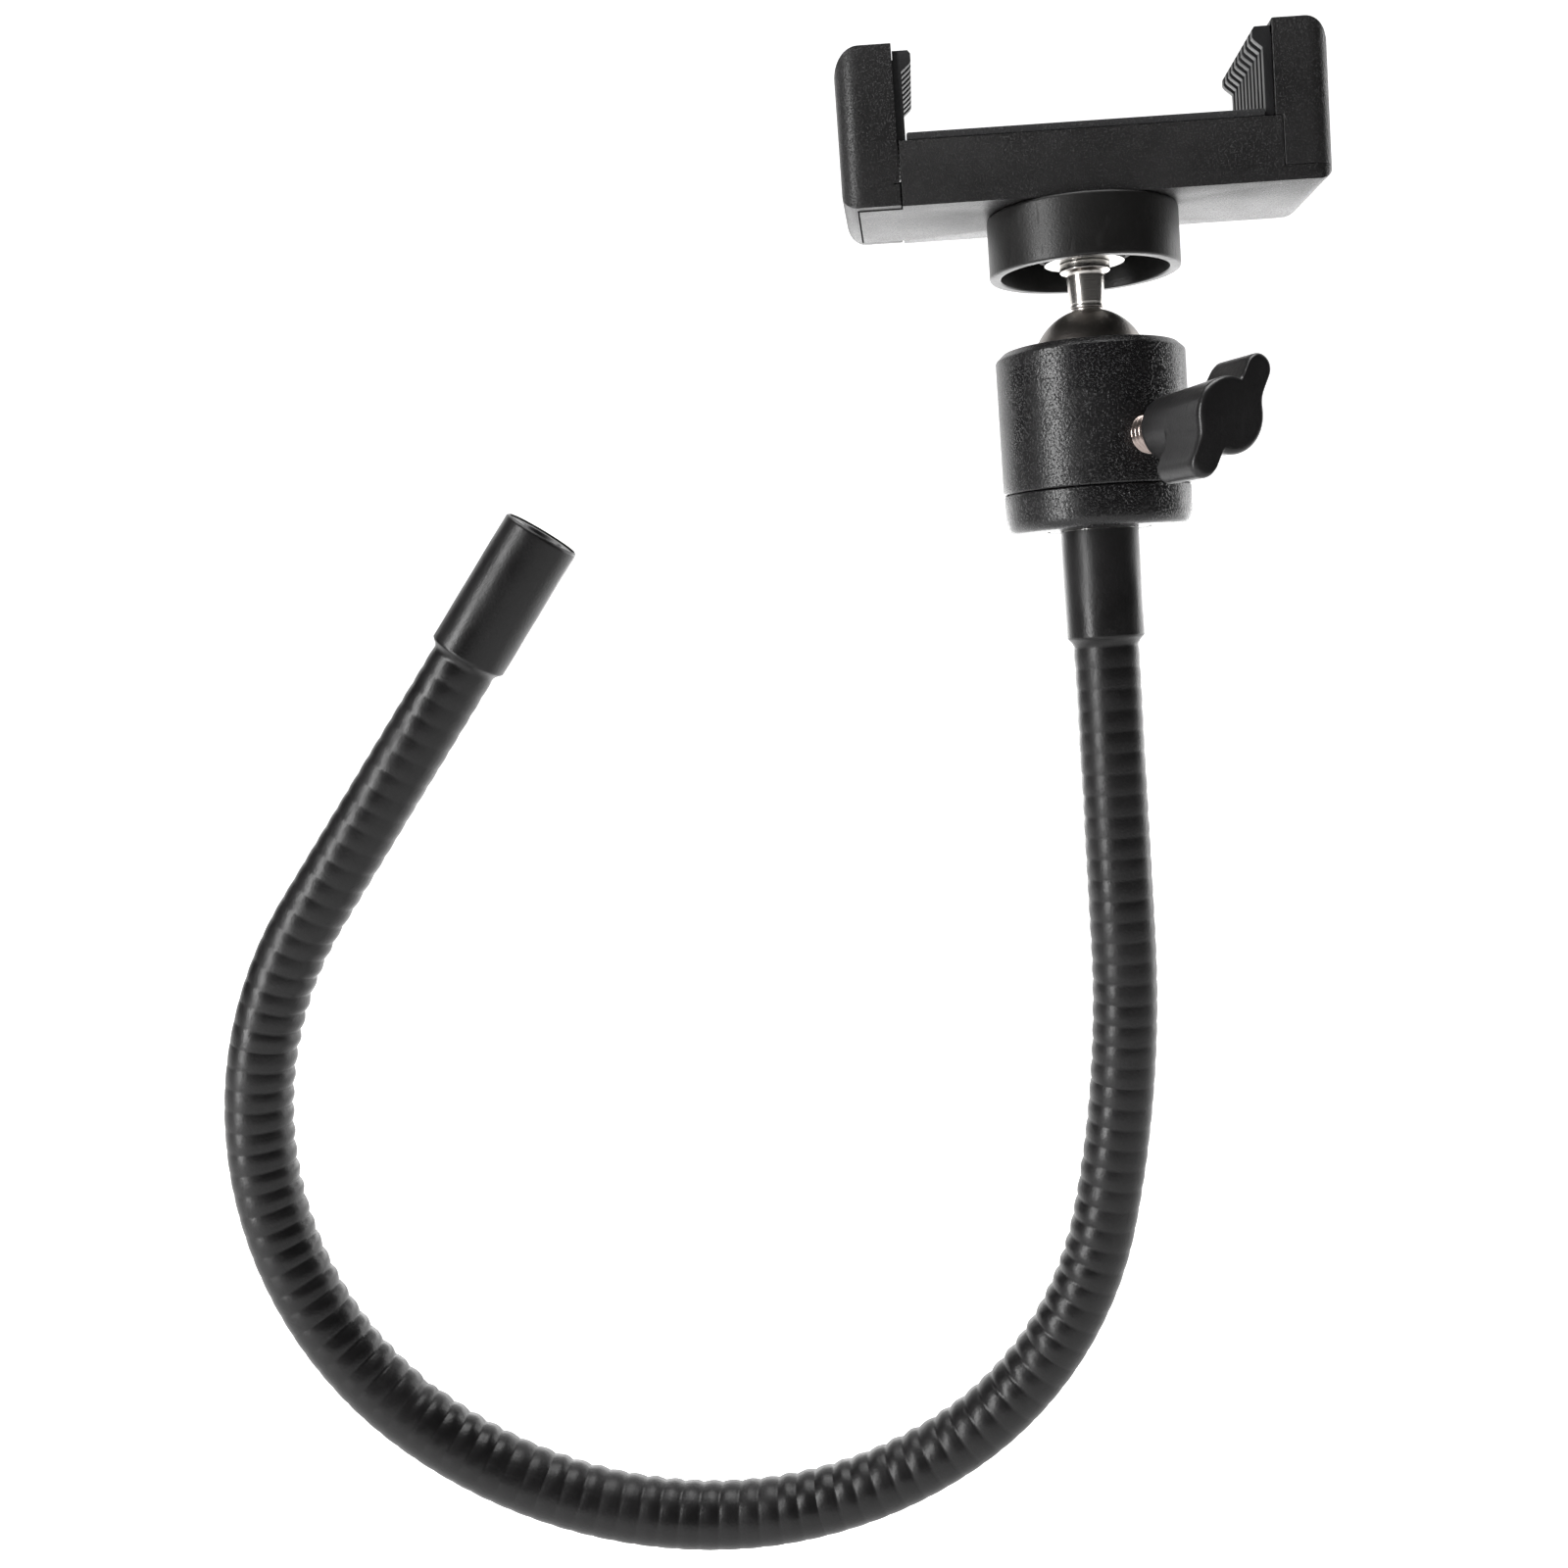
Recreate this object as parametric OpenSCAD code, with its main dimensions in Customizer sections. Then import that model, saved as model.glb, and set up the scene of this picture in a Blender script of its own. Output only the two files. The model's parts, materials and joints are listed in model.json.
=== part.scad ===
// Flexible phone mount: a bendable sleeved neck with a threaded foot, a small
// ball head on top of it and a sprung clamp that grips a phone by its long
// edges. The origin is the middle of the foot's threaded mouth. +Z is the axis
// of the ball head, +X runs along the clamp, and the neck lies in the XZ plane.

/* [Neck] */
// Length of each of the eight lengths that the neck is bent in
neck_len = 47; // [40:1:55]
// Bend of the second length from the foot, in degrees
bend_2 = 42; // [30:1:45]
// Bend of the third length
bend_3 = 42; // [30:1:45]
// Bend of the fourth length
bend_4 = 34; // [25:1:45]
// Bend of the fifth length
bend_5 = 38; // [25:1:45]
// Bend of the sixth length
bend_6 = 46; // [35:1:50]
// Bend of the seventh length
bend_7 = 14; // [5:1:25]
// Outside diameter of the sleeve on the neck
neck_d = 10.5; // [9.5:0.5:12]
// Wall of the sleeve
sleeve_wall = 0.6; // [0.5:0.1:0.8]
// Distance from one ring of the sleeve to the next
ring_pitch = 3.35; // [3:0.05:4]
// Width of the crease between two rings
crease_w = 0.6; // [0.4:0.1:1]
// Depth of the crease between two rings
crease_depth = 0.2; // [0.1:0.05:0.3]
// Bore down the middle of the wound coil
coil_bore_d = 3; // [2:0.5:4]

/* [Foot and head ferrules] */
// Outside diameter of the sleeve on the ferrules
ferrule_d = 12.4; // [11.8:0.2:14]
// Length of the foot's ferrule
foot_len = 24.2; // [20:0.2:30]
// Length of the head's ferrule below the ball head
head_ferrule_len = 18.4; // [15:0.2:25]
// Diameter of the foot's threaded hole
foot_thread_d = 5.2; // [4.8:0.1:6.4]
// Depth of the foot's threaded hole
foot_thread_len = 12; // [8:0.5:12]
// How far the coil is pressed into each ferrule
coil_grip = 9; // [6:0.5:10]

/* [Ball head] */
// Diameter of the housing
housing_d = 29.5; // [27:0.5:32]
// Height of the housing
housing_h = 21.7; // [20.5:0.1:25]
// Wall of the housing round the cup
housing_wall = 2.35; // [1.8:0.05:3]
// Height of the base plate
base_h = 6; // [5:0.5:8]
// Radius of the base plate's lower edge
base_round = 1.6; // [0.5:0.1:2.5]
// Chamfer on the housing's upper edge
housing_chamfer = 1.1; // [0.5:0.1:2]
// Diameter of the ball
ball_d = 18; // [16:0.5:19]
// How far the ball's middle lies below the housing's top
ball_sink = 2.7; // [2:0.1:3.5]
// Diameter of the stem above the ball
stem_d = 6; // [5:0.5:7]
// Diameter of the stem's collar
collar_d = 7.8; // [7.6:0.2:10]
// Diameter of the threaded stud above the collar
stud_d = 6.35; // [6:0.05:7]
// Angle of the knob's axis about the ball head, from straight ahead
knob_angle = 25; // [0:1:60]
// Diameter of the knob's screw
screw_d = 5.9; // [5:0.1:6]

/* [Lock knob] */
// Distance from the ball head's axis to the back of the knob
knob_start = 20; // [18:0.5:24]
// Length of the knob
knob_len = 16; // [12:0.5:20]
// Diameter of the knob's hub
hub_d = 10.8; // [9:0.2:12]
// Distance from the knob's axis to the tip of a wing
wing_reach = 10; // [9:0.2:12]
// Thickness of a wing
wing_t = 4; // [3:0.2:4.6]
// Length of a wing along the knob
wing_len = 9.5; // [6:0.5:11]

/* [Lock disc] */
// Diameter of the disc
disc_d = 29.6; // [27:0.2:32]
// Height of the disc
disc_h = 9.2; // [8:0.2:12]
// Wall of the disc's skirt
disc_wall = 1.7; // [1.2:0.1:2.5]
// Distance from the ball's middle to the disc's lower rim
disc_rise = 14.3; // [13.5:0.1:17]

/* [Clamp] */
// Length of the clamp when closed
clamp_len = 73.2; // [68:0.4:84]
// Depth of the clamp, front to back
clamp_d = 24; // [22:0.5:28]
// Height of the beam
beam_h = 9.4; // [9:0.1:11]
// Height of the jaws above the clamp's back face
jaw_h = 23.4; // [20:0.2:28]
// Thickness of a jaw's arm
jaw_t = 8.7; // [7.5:0.1:10]
// Radius of a jaw's upper outer corner
jaw_round = 4; // [2:0.5:5]
// Thickness of the beam's floor
floor_t = 2; // [1.6:0.1:2.1]
// Wall of the beam's sides
beam_wall = 1.8; // [1.2:0.1:2]
// Thickness of the foam
foam_t = 1.1; // [0.8:0.1:2]
// Number of rubber ribs on a jaw
rib_n = 10; // [7:1:11]
// Thickness of a rubber rib
rib_w = 1.2; // [0.8:0.1:1.4]
// How far the ribs stand out of the jaw
rib_t = 1.2; // [0.8:0.1:2]
// How far a rib's lip overhangs
lip = 1.5; // [0.8:0.1:2]
// Outside diameter of a closing spring
spring_d = 3.2; // [2.6:0.1:3.4]
// Wire of a closing spring
spring_wire = 0.5; // [0.4:0.05:0.6]

/* [Hidden] */
fine = 64;
coarse = 32;

// Clearances: pieces that are fixed together, pieces that run in each other,
// and pieces that only lie beside each other
seam = 0.1;
run_gap = 0.05;
free_gap = 0.25;

// Neck
bends = [0, bend_2, bend_3, bend_4, bend_5, bend_6, bend_7, 0];
lengths_n = len(bends);
function sum_to(k) = k <= 0 ? 0 : bends[k - 1] + sum_to(k - 1);
upright = 450;
heading_0 = upright - sum_to(lengths_n);
function heading(k) = heading_0 + sum_to(k);
function aim(a) = [cos(a), sin(a)];
function side_of(a) = [-sin(a), cos(a)];
function bend_radius(b) = neck_len * 180 / (PI * b);
// Step along one length: a chord of its arc, or a straight run
function step(h, b) = b == 0
    ? neck_len * aim(h)
    : bend_radius(b) * (side_of(h) - side_of(h + b));
function joint_at(k) = k == 0
    ? foot_len * aim(heading_0)
    : joint_at(k - 1) + step(heading(k - 1), bends[k - 1]);
neck_r = neck_d / 2;
sleeve_in_r = neck_r - crease_depth - sleeve_wall;
coil_r = sleeve_in_r - free_gap;
ferrule_r = ferrule_d / 2;
ferrule_core_r = ferrule_r - sleeve_wall;
shoulder = 1.6;
ring_n = round(neck_len / ring_pitch);
link_inset = 0.15;
link_overlap = 0.5;
ferrule_end = shoulder + sleeve_wall + crease_w / 2 + seam;
// Taper on the end of each coil length, and how far its tip stops before the
// joint, so that two lengths clear each other at the end of the joint's travel
taper_len = 1.3;
taper_gap = 1;

// Head, measured up from the underside of the base plate
neck_end = joint_at(lengths_n);
head_x = neck_end[0];
head_z = neck_end[1] + head_ferrule_len;
housing_r = housing_d / 2;
housing_z = base_h + seam;
housing_top = housing_z + housing_h;
ball_r = ball_d / 2;
ball_z = housing_top - ball_sink;
cup_r = housing_r - housing_wall;
register_h = 1;
block_top = ball_z - ball_r - seam;
tip_r = 2;
tip_start = 5.5;
knob_z = block_top - tip_r - 1;
disc_low = ball_z + disc_rise;
disc_top = disc_low + disc_h;
// Flanged nut in the disc: its height, its corners, its flange's radius and
// thickness, and how far above the disc's rim it sits
nut_h = 3.2;
nut_hex_r = 5.9;
nut_flange_r = 6.2;
nut_flange_h = 0.9;
nut_z = 2.6;
clamp_z = disc_top + seam;
stud_in_clamp = 6;
mount_stud_r = 3;
mount_stud_len = base_h - 0.5;
stem_low_z = 0.94 * ball_r;
collar_h = 1.2;
groove_h = 0.5;

// Clamp, measured from the stem's axis on the clamp's back face
half = clamp_len / 2;
jaw_x = half - jaw_t;
beam_x = jaw_x - free_gap;
fixed_x = jaw_x + 1;
cavity_y = clamp_d / 2 - beam_wall;
end_wall = 5;
cavity_end = fixed_x - end_wall;
cover_t = 1.4;
screw_x = cavity_end + 2;
screw_y = 6;
cover_z = beam_h - cover_t;
tongue_z = floor_t + free_gap;
tongue_t = 1.8;
tongue_y = cavity_y - 0.2;
tongue_reach = 14;
nut_r = 4.5;
boss_r = nut_r + 1.2;
rail_in = boss_r + 0.5;
cross_x = -(boss_r + 1.2);
spring_y = (rail_in + tongue_y) / 2;
spring_z = tongue_z + tongue_t + spring_d / 2 + 0.2;
post_r = 0.9;
post_near = cross_x - 1.6;
post_far = cavity_end - 1.8;
jaw_shell = 2.2;
plate_end = half - jaw_shell - free_gap;
hook_z = floor_t + free_gap;
edge_r = 3.4;
pad_y = clamp_d / 2 - 0.6;
low_round = 2.6;
pad_low = beam_h + 0.3;
pad_top = jaw_h - 0.9;
pad_plate = 1;
foam_z = beam_h + seam;
foam_x = jaw_x - rib_t - free_gap;
rib_pitch = (2 * (pad_y - seam) - rib_w) / (rib_n - 1);

black_plastic = [0.13, 0.13, 0.14];
black_metal = [0.16, 0.16, 0.17];
black_rubber = [0.07, 0.07, 0.07];
steel = [0.72, 0.72, 0.70];
brass = [0.75, 0.62, 0.36];

// Stand a drawing whose X and Y are the neck's X and Z up in the XZ plane
module in_neck_plane() { rotate([90, 0, 0]) children(); }

// Go to joint k of the neck, with local X pointing along it
module at_joint(k) {
    p = joint_at(k);
    translate([p[0], p[1], 0]) rotate([0, 0, heading(k)]) children();
}

// Sweep a section, drawn round the origin, along the part of length k that
// lies between the shares t0 and t1
module sweep(k, t0, t1) {
    b = bends[k];
    at_joint(k)
        if (b == 0)
            translate([t0 * neck_len, 0, 0]) rotate([0, 90, 0])
                linear_extrude((t1 - t0) * neck_len) children();
        else
            translate([0, bend_radius(b), 0]) rotate([0, 0, t0 * b - 90])
                rotate_extrude(angle = (t1 - t0) * b, $fn = 360)
                    translate([bend_radius(b), 0]) children();
}

module ring_section(r_in, r_out) {
    difference() {
        circle(r_out, $fn = fine);
        circle(r_in, $fn = fine);
    }
}

// Sleeve on length k: a tube with a crease cut between every two rings. The
// joints between the lengths are creases too, filled by sleeve_link().
module sleeve_length(k) {
    crease = crease_w / neck_len;
    difference() {
        sweep(k, crease / 2, 1 - crease / 2) ring_section(sleeve_in_r, neck_r);
        for (i = [1 : ring_n - 1])
            sweep(k, i / ring_n - crease / 2, i / ring_n + crease / 2)
                ring_section(neck_r - crease_depth, neck_r + 1);
    }
}

// Thin ring that joins two lengths of the sleeve inside the thickness of its
// wall, at joint k
module sleeve_link(k) {
    at_joint(k) translate([-crease_w / 2 - link_overlap, 0, 0]) rotate([0, 90, 0])
        linear_extrude(crease_w + 2 * link_overlap)
            ring_section(sleeve_in_r + link_inset, neck_r - crease_depth);
}

// Half section of the sleeve on a ferrule: X is the radius, Y runs from the
// end of the ferrule, a short cone leads down to the neck, and a thin lip
// goes on into the wall of the neck's sleeve
module sleeve_end_section(len) {
    neck_start = len - crease_w / 2;
    lip_end = len + crease_w / 2 + link_overlap;
    polygon([
        [ferrule_core_r + seam, 0], [ferrule_r - 0.4, 0], [ferrule_r, 0.4],
        [ferrule_r, neck_start - shoulder], [neck_r, neck_start],
        [neck_r - crease_depth, neck_start], [neck_r - crease_depth, lip_end],
        [sleeve_in_r + link_inset, lip_end], [sleeve_in_r + link_inset, len],
        [sleeve_in_r, len], [sleeve_in_r, neck_start - sleeve_wall],
        [ferrule_core_r + seam, neck_start - shoulder - sleeve_wall]
    ]);
}

module neck_sleeve() {
    color(black_rubber) in_neck_plane() {
        for (k = [0 : lengths_n - 1]) sleeve_length(k);
        for (k = [1 : lengths_n - 1]) sleeve_link(k);
        rotate([0, 0, heading_0]) rotate([0, 90, 0])
            rotate_extrude($fn = fine) sleeve_end_section(foot_len);
        translate([head_x, head_z - seam, 0]) rotate([90, 0, 0])
            rotate_extrude($fn = fine) sleeve_end_section(head_ferrule_len - seam);
    }
}

// One length of the wound coil. Where two lengths meet, both are tapered, so
// that they clear each other when the neck bends at the joint between them.
// The first and the last length are straight, and go on into a ferrule.
module coil_length(k) {
    first = k == 0;
    last = k == lengths_n - 1;
    cut = (taper_len + taper_gap) / neck_len;
    color(steel) in_neck_plane() difference() {
        union() {
            if (first || last)
                at_joint(k) translate([first ? -coil_grip : taper_len + taper_gap, 0, 0])
                    rotate([0, 90, 0])
                        cylinder(h = neck_len - taper_len - taper_gap + coil_grip, r = coil_r, $fn = fine);
            else
                sweep(k, cut, 1 - cut) circle(coil_r, $fn = fine);
            if (!first) at_joint(k) at_share(k, cut) coil_taper(-1);
            if (!last) at_joint(k) at_share(k, 1 - cut) coil_taper(1);
        }
        if (first || last)
            at_joint(first ? 0 : lengths_n) translate([first ? -coil_grip - 1 : 0, 0, 0])
                rotate([0, 90, 0]) cylinder(h = coil_grip + 1, d = coil_bore_d, $fn = coarse);
    }
}

// Tapered end of a coil length, which runs on along X in the given direction.
// It starts a little way back, inside the length.
module coil_taper(direction) {
    back = 0.4;
    rotate([0, direction * 90, 0]) translate([0, 0, -back])
        cylinder(h = taper_len + back, r1 = coil_r - seam, r2 = coil_r / 2, $fn = fine);
}

// Go from the start of length k to the place at share t along it
module at_share(k, t) {
    b = bends[k];
    if (b == 0) translate([t * neck_len, 0, 0]) children();
    else translate([0, bend_radius(b), 0]) rotate([0, 0, t * b])
        translate([0, -bend_radius(b), 0]) children();
}

module neck_coil_1() { coil_length(0); }
module neck_coil_2() { coil_length(1); }
module neck_coil_3() { coil_length(2); }
module neck_coil_4() { coil_length(3); }
module neck_coil_5() { coil_length(4); }
module neck_coil_6() { coil_length(5); }
module neck_coil_7() { coil_length(6); }
module neck_coil_8() { coil_length(7); }

// Turned foot with a threaded mouth and a socket for the coil
module foot_ferrule() {
    color(steel) in_neck_plane() rotate([0, 0, heading_0]) rotate([0, 90, 0])
        difference() {
            cylinder(h = foot_len - ferrule_end, r = ferrule_core_r, $fn = fine);
            translate([0, 0, -1])
                cylinder(h = foot_thread_len + 1, d = foot_thread_d, $fn = fine);
            translate([0, 0, foot_len - coil_grip - seam])
                cylinder(h = foot_len, r = coil_r + run_gap, $fn = fine);
        }
}

module at_head() { translate([head_x, 0, head_z]) children(); }

// Turned head ferrule: a socket for the coil below and a screwed stud above
module head_ferrule() {
    tube = head_ferrule_len - ferrule_end;
    color(steel) at_head() difference() {
        union() {
            translate([0, 0, -tube])
                cylinder(h = tube, r = ferrule_core_r, $fn = fine);
            cylinder(h = mount_stud_len, r = mount_stud_r, $fn = fine);
        }
        translate([0, 0, -head_ferrule_len])
            cylinder(h = coil_grip + seam, r = coil_r + run_gap, $fn = fine);
    }
}

module base_plate() {
    r = housing_r - 0.15;
    color(black_metal) at_head() difference() {
        union() {
            rotate_extrude($fn = fine) {
                square([r - base_round, base_h]);
                translate([0, base_round]) square([r, base_h - base_round]);
                translate([r - base_round, base_round]) circle(base_round, $fn = fine);
            }
            translate([0, 0, base_h])
                cylinder(h = register_h, r = cup_r - seam, $fn = fine);
        }
        translate([0, 0, -1])
            cylinder(h = base_h + register_h + 2, r = mount_stud_r + run_gap, $fn = fine);
        rotate_extrude($fn = fine)
            translate([ferrule_r + 1.6, -1]) square([0.5, 1.3]);
    }
}

// Send a drawing's +Z out along the knob's axis
module on_knob_axis() {
    translate([0, 0, knob_z]) rotate([0, 0, knob_angle]) rotate([90, 0, 0]) children();
}

// The housing: the ball is dropped in from below and held by the upper lip
module ball_housing() {
    color(black_metal) at_head() difference() {
        translate([0, 0, housing_z]) rotate_extrude($fn = fine)
            polygon([
                [0, 0], [housing_r - 0.3, 0], [housing_r, 0.3],
                [housing_r, housing_h - housing_chamfer],
                [housing_r - housing_chamfer, housing_h], [0, housing_h]
            ]);
        translate([0, 0, ball_z]) sphere(ball_r + 2 * run_gap, $fn = fine);
        translate([0, 0, housing_z - 1])
            cylinder(h = ball_z - housing_z + 0.6, r = cup_r + run_gap, $fn = fine);
        on_knob_axis() cylinder(h = housing_d, d = screw_d + 2 * run_gap, $fn = fine);
    }
}

// The block that the screw drives up against the cup
module pressure_block() {
    low = housing_z + register_h + seam;
    color(steel) at_head() difference() {
        translate([0, 0, low])
            cylinder(h = block_top - low, r = cup_r - free_gap, $fn = fine);
        on_knob_axis() cylinder(h = housing_d, r = tip_r + 0.3, $fn = fine);
    }
}

// Nylon cup under the ball. It turns with the ball about the head's axis.
module ball_cup() {
    low = block_top + seam;
    top = ball_z - 1.2;
    color([0.85, 0.85, 0.8]) at_head() difference() {
        translate([0, 0, low])
            cylinder(h = top - low, r = cup_r - run_gap, $fn = fine);
        translate([0, 0, ball_z]) sphere(ball_r + run_gap, $fn = fine);
        cylinder(h = ball_z, r = ball_r / 2, $fn = fine);
    }
}

// Ball, stem, collar and threaded stud, turned in one piece. The nut in the
// disc is screwed down on the collar.
module ball_stem() {
    stem_r = stem_d / 2;
    collar_z = disc_rise + nut_z - nut_flange_h - seam - collar_h;
    color(steel) at_head() translate([0, 0, ball_z]) {
        difference() {
            sphere(ball_r, $fn = fine);
            translate([0, 0, stem_low_z]) cylinder(h = ball_r, r = ball_r, $fn = fine);
        }
        rotate_extrude($fn = fine) polygon([
            [0, 0], [stem_r - 0.6, 0], [stem_r - 0.6, stem_low_z + groove_h],
            [stem_r - 0.35, stem_low_z + 1.3 * groove_h],
            [stem_r, collar_z - 0.6], [collar_d / 2 - 0.3, collar_z],
            [collar_d / 2, collar_z + 0.3], [collar_d / 2, collar_z + collar_h],
            [stud_d / 2, collar_z + collar_h],
            [stud_d / 2, disc_rise + disc_h + seam + stud_in_clamp - 0.5],
            [stud_d / 2 - 0.5, disc_rise + disc_h + seam + stud_in_clamp],
            [0, disc_rise + disc_h + seam + stud_in_clamp]
        ]);
    }
}

// Screw with a thinner tip that wedges the pressure block up
module lock_screw() {
    step_at = cup_r + 0.3;
    color(steel) at_head() on_knob_axis() {
        translate([0, 0, tip_start])
            cylinder(h = step_at - tip_start + 1, r = tip_r, $fn = fine);
        translate([0, 0, step_at])
            cylinder(h = knob_start + knob_len / 2 - step_at, d = screw_d, $fn = fine);
    }
}

// One wing's outline, set to one side of the axis
module wing_outline() {
    translate([0, -wing_t * 0.88]) square([wing_reach - wing_t / 2, wing_t]);
    translate([wing_reach - wing_t / 2, -wing_t * 0.38]) circle(wing_t / 2, $fn = coarse);
}

// Moulded knob: a round hub with two wings, like a propeller
module lock_knob() {
    lean = 63;
    color(black_plastic) at_head() on_knob_axis() translate([0, 0, knob_start])
        difference() {
            union() {
                cylinder(h = knob_len, r1 = hub_d / 2 - 0.7, r2 = hub_d / 2, $fn = fine);
                for (turn = [0, 180])
                    rotate([0, 0, lean + turn])
                        translate([0, 0, knob_len - wing_len - 0.4])
                            linear_extrude(wing_len) wing_outline();
            }
            translate([0, 0, -1])
                cylinder(h = knob_len / 2 + 1 + seam, d = screw_d + 2 * run_gap, $fn = fine);
        }
}

// Jam disc: a cup with its open side down and a hub that holds the nut
module lock_disc() {
    hub_r = nut_flange_r + 1.2;
    roof = 2.2;
    color(black_plastic) at_head() translate([0, 0, disc_low]) difference() {
        rotate_extrude($fn = fine) {
            difference() {
                square([disc_d / 2, disc_h]);
                translate([-1, -1]) square([disc_d / 2 - disc_wall + 1, disc_h - roof + 1]);
                translate([disc_d / 2 - 0.5, disc_h - 0.5]) square(1);
            }
            translate([0, nut_z]) square([hub_r, disc_h - nut_z]);
            translate([disc_d / 2 - 0.5, disc_h - 0.5]) circle(0.5, $fn = coarse);
        }
        translate([0, 0, -1])
            cylinder(h = disc_h + 2, d = stud_d + 4 * run_gap, $fn = fine);
        translate([0, 0, nut_z - 1]) cylinder(h = 1 + nut_h, r = nut_hex_r + seam, $fn = 6);
    }
}

// Flanged hex nut in the jam disc's hub
module disc_nut() {
    color(steel) at_head() translate([0, 0, disc_low + nut_z - nut_flange_h]) difference() {
        union() {
            cylinder(h = nut_flange_h - seam, r = nut_flange_r, $fn = fine);
            cylinder(h = nut_flange_h + nut_h - seam, r = nut_hex_r, $fn = 6);
        }
        translate([0, 0, -1])
            cylinder(h = nut_h + nut_flange_h + 2, d = stud_d + 2 * run_gap, $fn = fine);
    }
}

module at_clamp() { translate([head_x, 0, head_z + clamp_z]) children(); }

// Outline of the closed clamp from above, with rounded corners
module clamp_plan() {
    x = half - edge_r;
    y = clamp_d / 2 - edge_r;
    square([2 * half, 2 * y], center = true);
    square([2 * x, 2 * y + 2 * edge_r], center = true);
    for (i = [-1, 1], j = [-1, 1]) translate([i * x, j * y]) circle(edge_r, $fn = fine);
}

// Side view of a drawing, pushed through the clamp's whole depth
module through_depth(depth = clamp_d) {
    translate([0, depth / 2, 0]) rotate([90, 0, 0]) linear_extrude(depth) children();
}

// A rectangle whose upper right and lower right corners are round
module end_block(x0, x1, z0, z1, r_top, r_low) {
    intersection() {
        translate([x0, z0]) square([x1 - x0, z1 - z0]);
        union() {
            translate([x0, z0 + r_low]) square([x1 - x0, z1 - z0 - r_low - r_top]);
            translate([x0, z0]) square([x1 - x0 - r_low, z1 - z0 - r_top]);
            translate([x0, z0 + r_low]) square([x1 - x0 - r_top, z1 - z0 - r_low]);
            translate([x1 - r_top, z1 - r_top]) circle(r_top, $fn = fine);
            translate([x1 - r_low, z0 + r_low]) circle(r_low, $fn = fine);
        }
    }
}

// Side view of the beam's floor where it runs on under the fixed jaw
module foot_block() {
    intersection() {
        end_block(0, half, 0, jaw_h, jaw_round, low_round);
        square([half, hook_z - seam]);
    }
}

// Moulded beam: a tray with the jaw's slide, the nut's boss and spring posts
module clamp_body() {
    color(black_plastic) at_clamp() difference() {
        union() {
            intersection() {
                linear_extrude(beam_h) clamp_plan();
                through_depth() {
                    translate([-beam_x, 0]) square([beam_x + fixed_x, beam_h]);
                    foot_block();
                }
            }
            translate([-plate_end, -tongue_y, 0])
                cube([plate_end, 2 * tongue_y, floor_t]);
        }
        difference() {
            translate([-half, -cavity_y, floor_t])
                cube([half + cavity_end, 2 * cavity_y, beam_h]);
            cylinder(h = cover_z - seam, r = boss_r, $fn = fine);
            for (j = [-1, 1]) translate([post_far, j * spring_y, 0])
                cylinder(h = spring_z + spring_d / 2, r = post_r, $fn = coarse);
        }
        translate([-half, -cavity_y, cover_z - seam])
            cube([half + fixed_x - 1, 2 * cavity_y, beam_h]);
        translate([0, 0, -1])
            cylinder(h = beam_h, r = nut_r + run_gap, $fn = fine);
        for (j = [-1, 1]) translate([screw_x, j * screw_y, 3])
            cylinder(h = beam_h, r = 0.9, $fn = coarse);
    }
}

// Plate that closes the tray under the foam
module clamp_cover() {
    y = cavity_y - seam;
    color(black_plastic) at_clamp() difference() {
        translate([-beam_x + seam, -y, cover_z])
            cube([beam_x + fixed_x - 1 - 2 * seam, 2 * y, cover_t]);
        for (j = [-1, 1]) translate([screw_x, j * screw_y, 0])
            cylinder(h = beam_h + 1, r = 1.15, $fn = coarse);
        for (j = [-1, 1]) translate([screw_x, j * screw_y, beam_h - 0.8])
            cylinder(h = 2, r = 1.75, $fn = coarse);
    }
}

module cover_screws() {
    color(steel) at_clamp() for (j = [-1, 1]) translate([screw_x, j * screw_y, 0]) {
        translate([0, 0, beam_h - 0.8 + 0.02]) cylinder(h = 0.7, r = 1.65, $fn = coarse);
        translate([0, 0, 4]) cylinder(h = beam_h - 4.5, r = 0.85, $fn = coarse);
    }
}

// Round threaded insert that the stud screws into
module tripod_nut() {
    color(brass) at_clamp() difference() {
        translate([0, 0, 0.2]) cylinder(h = cover_z - 0.6, r = nut_r, $fn = fine);
        translate([0, 0, -1]) cylinder(h = cover_z + 2, d = stud_d + 2 * run_gap, $fn = fine);
    }
}

// Side view of a jaw's arm on the +X side
module arm_side(z0) {
    end_block(jaw_x, half, z0, jaw_h, jaw_round, low_round);
}

// Pocket in an arm that holds the backing of the rubber ribs
module pad_pocket(gap) {
    y = pad_y + gap;
    translate([jaw_x - 1, -y, pad_low - gap])
        cube([pad_plate + 1 + gap, 2 * y, pad_top - 1.2 - pad_low + 2 * gap]);
}

module fixed_jaw() {
    color(black_plastic) at_clamp() difference() {
        intersection() {
            linear_extrude(jaw_h) clamp_plan();
            through_depth() difference() {
                arm_side(0);
                translate([jaw_x - 1, -1]) square([fixed_x - jaw_x + 1 + seam, beam_h + seam + 1]);
                translate([jaw_x - 1, -1]) square([half, hook_z + 1]);
            }
        }
        pad_pocket(0);
    }
}

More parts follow.
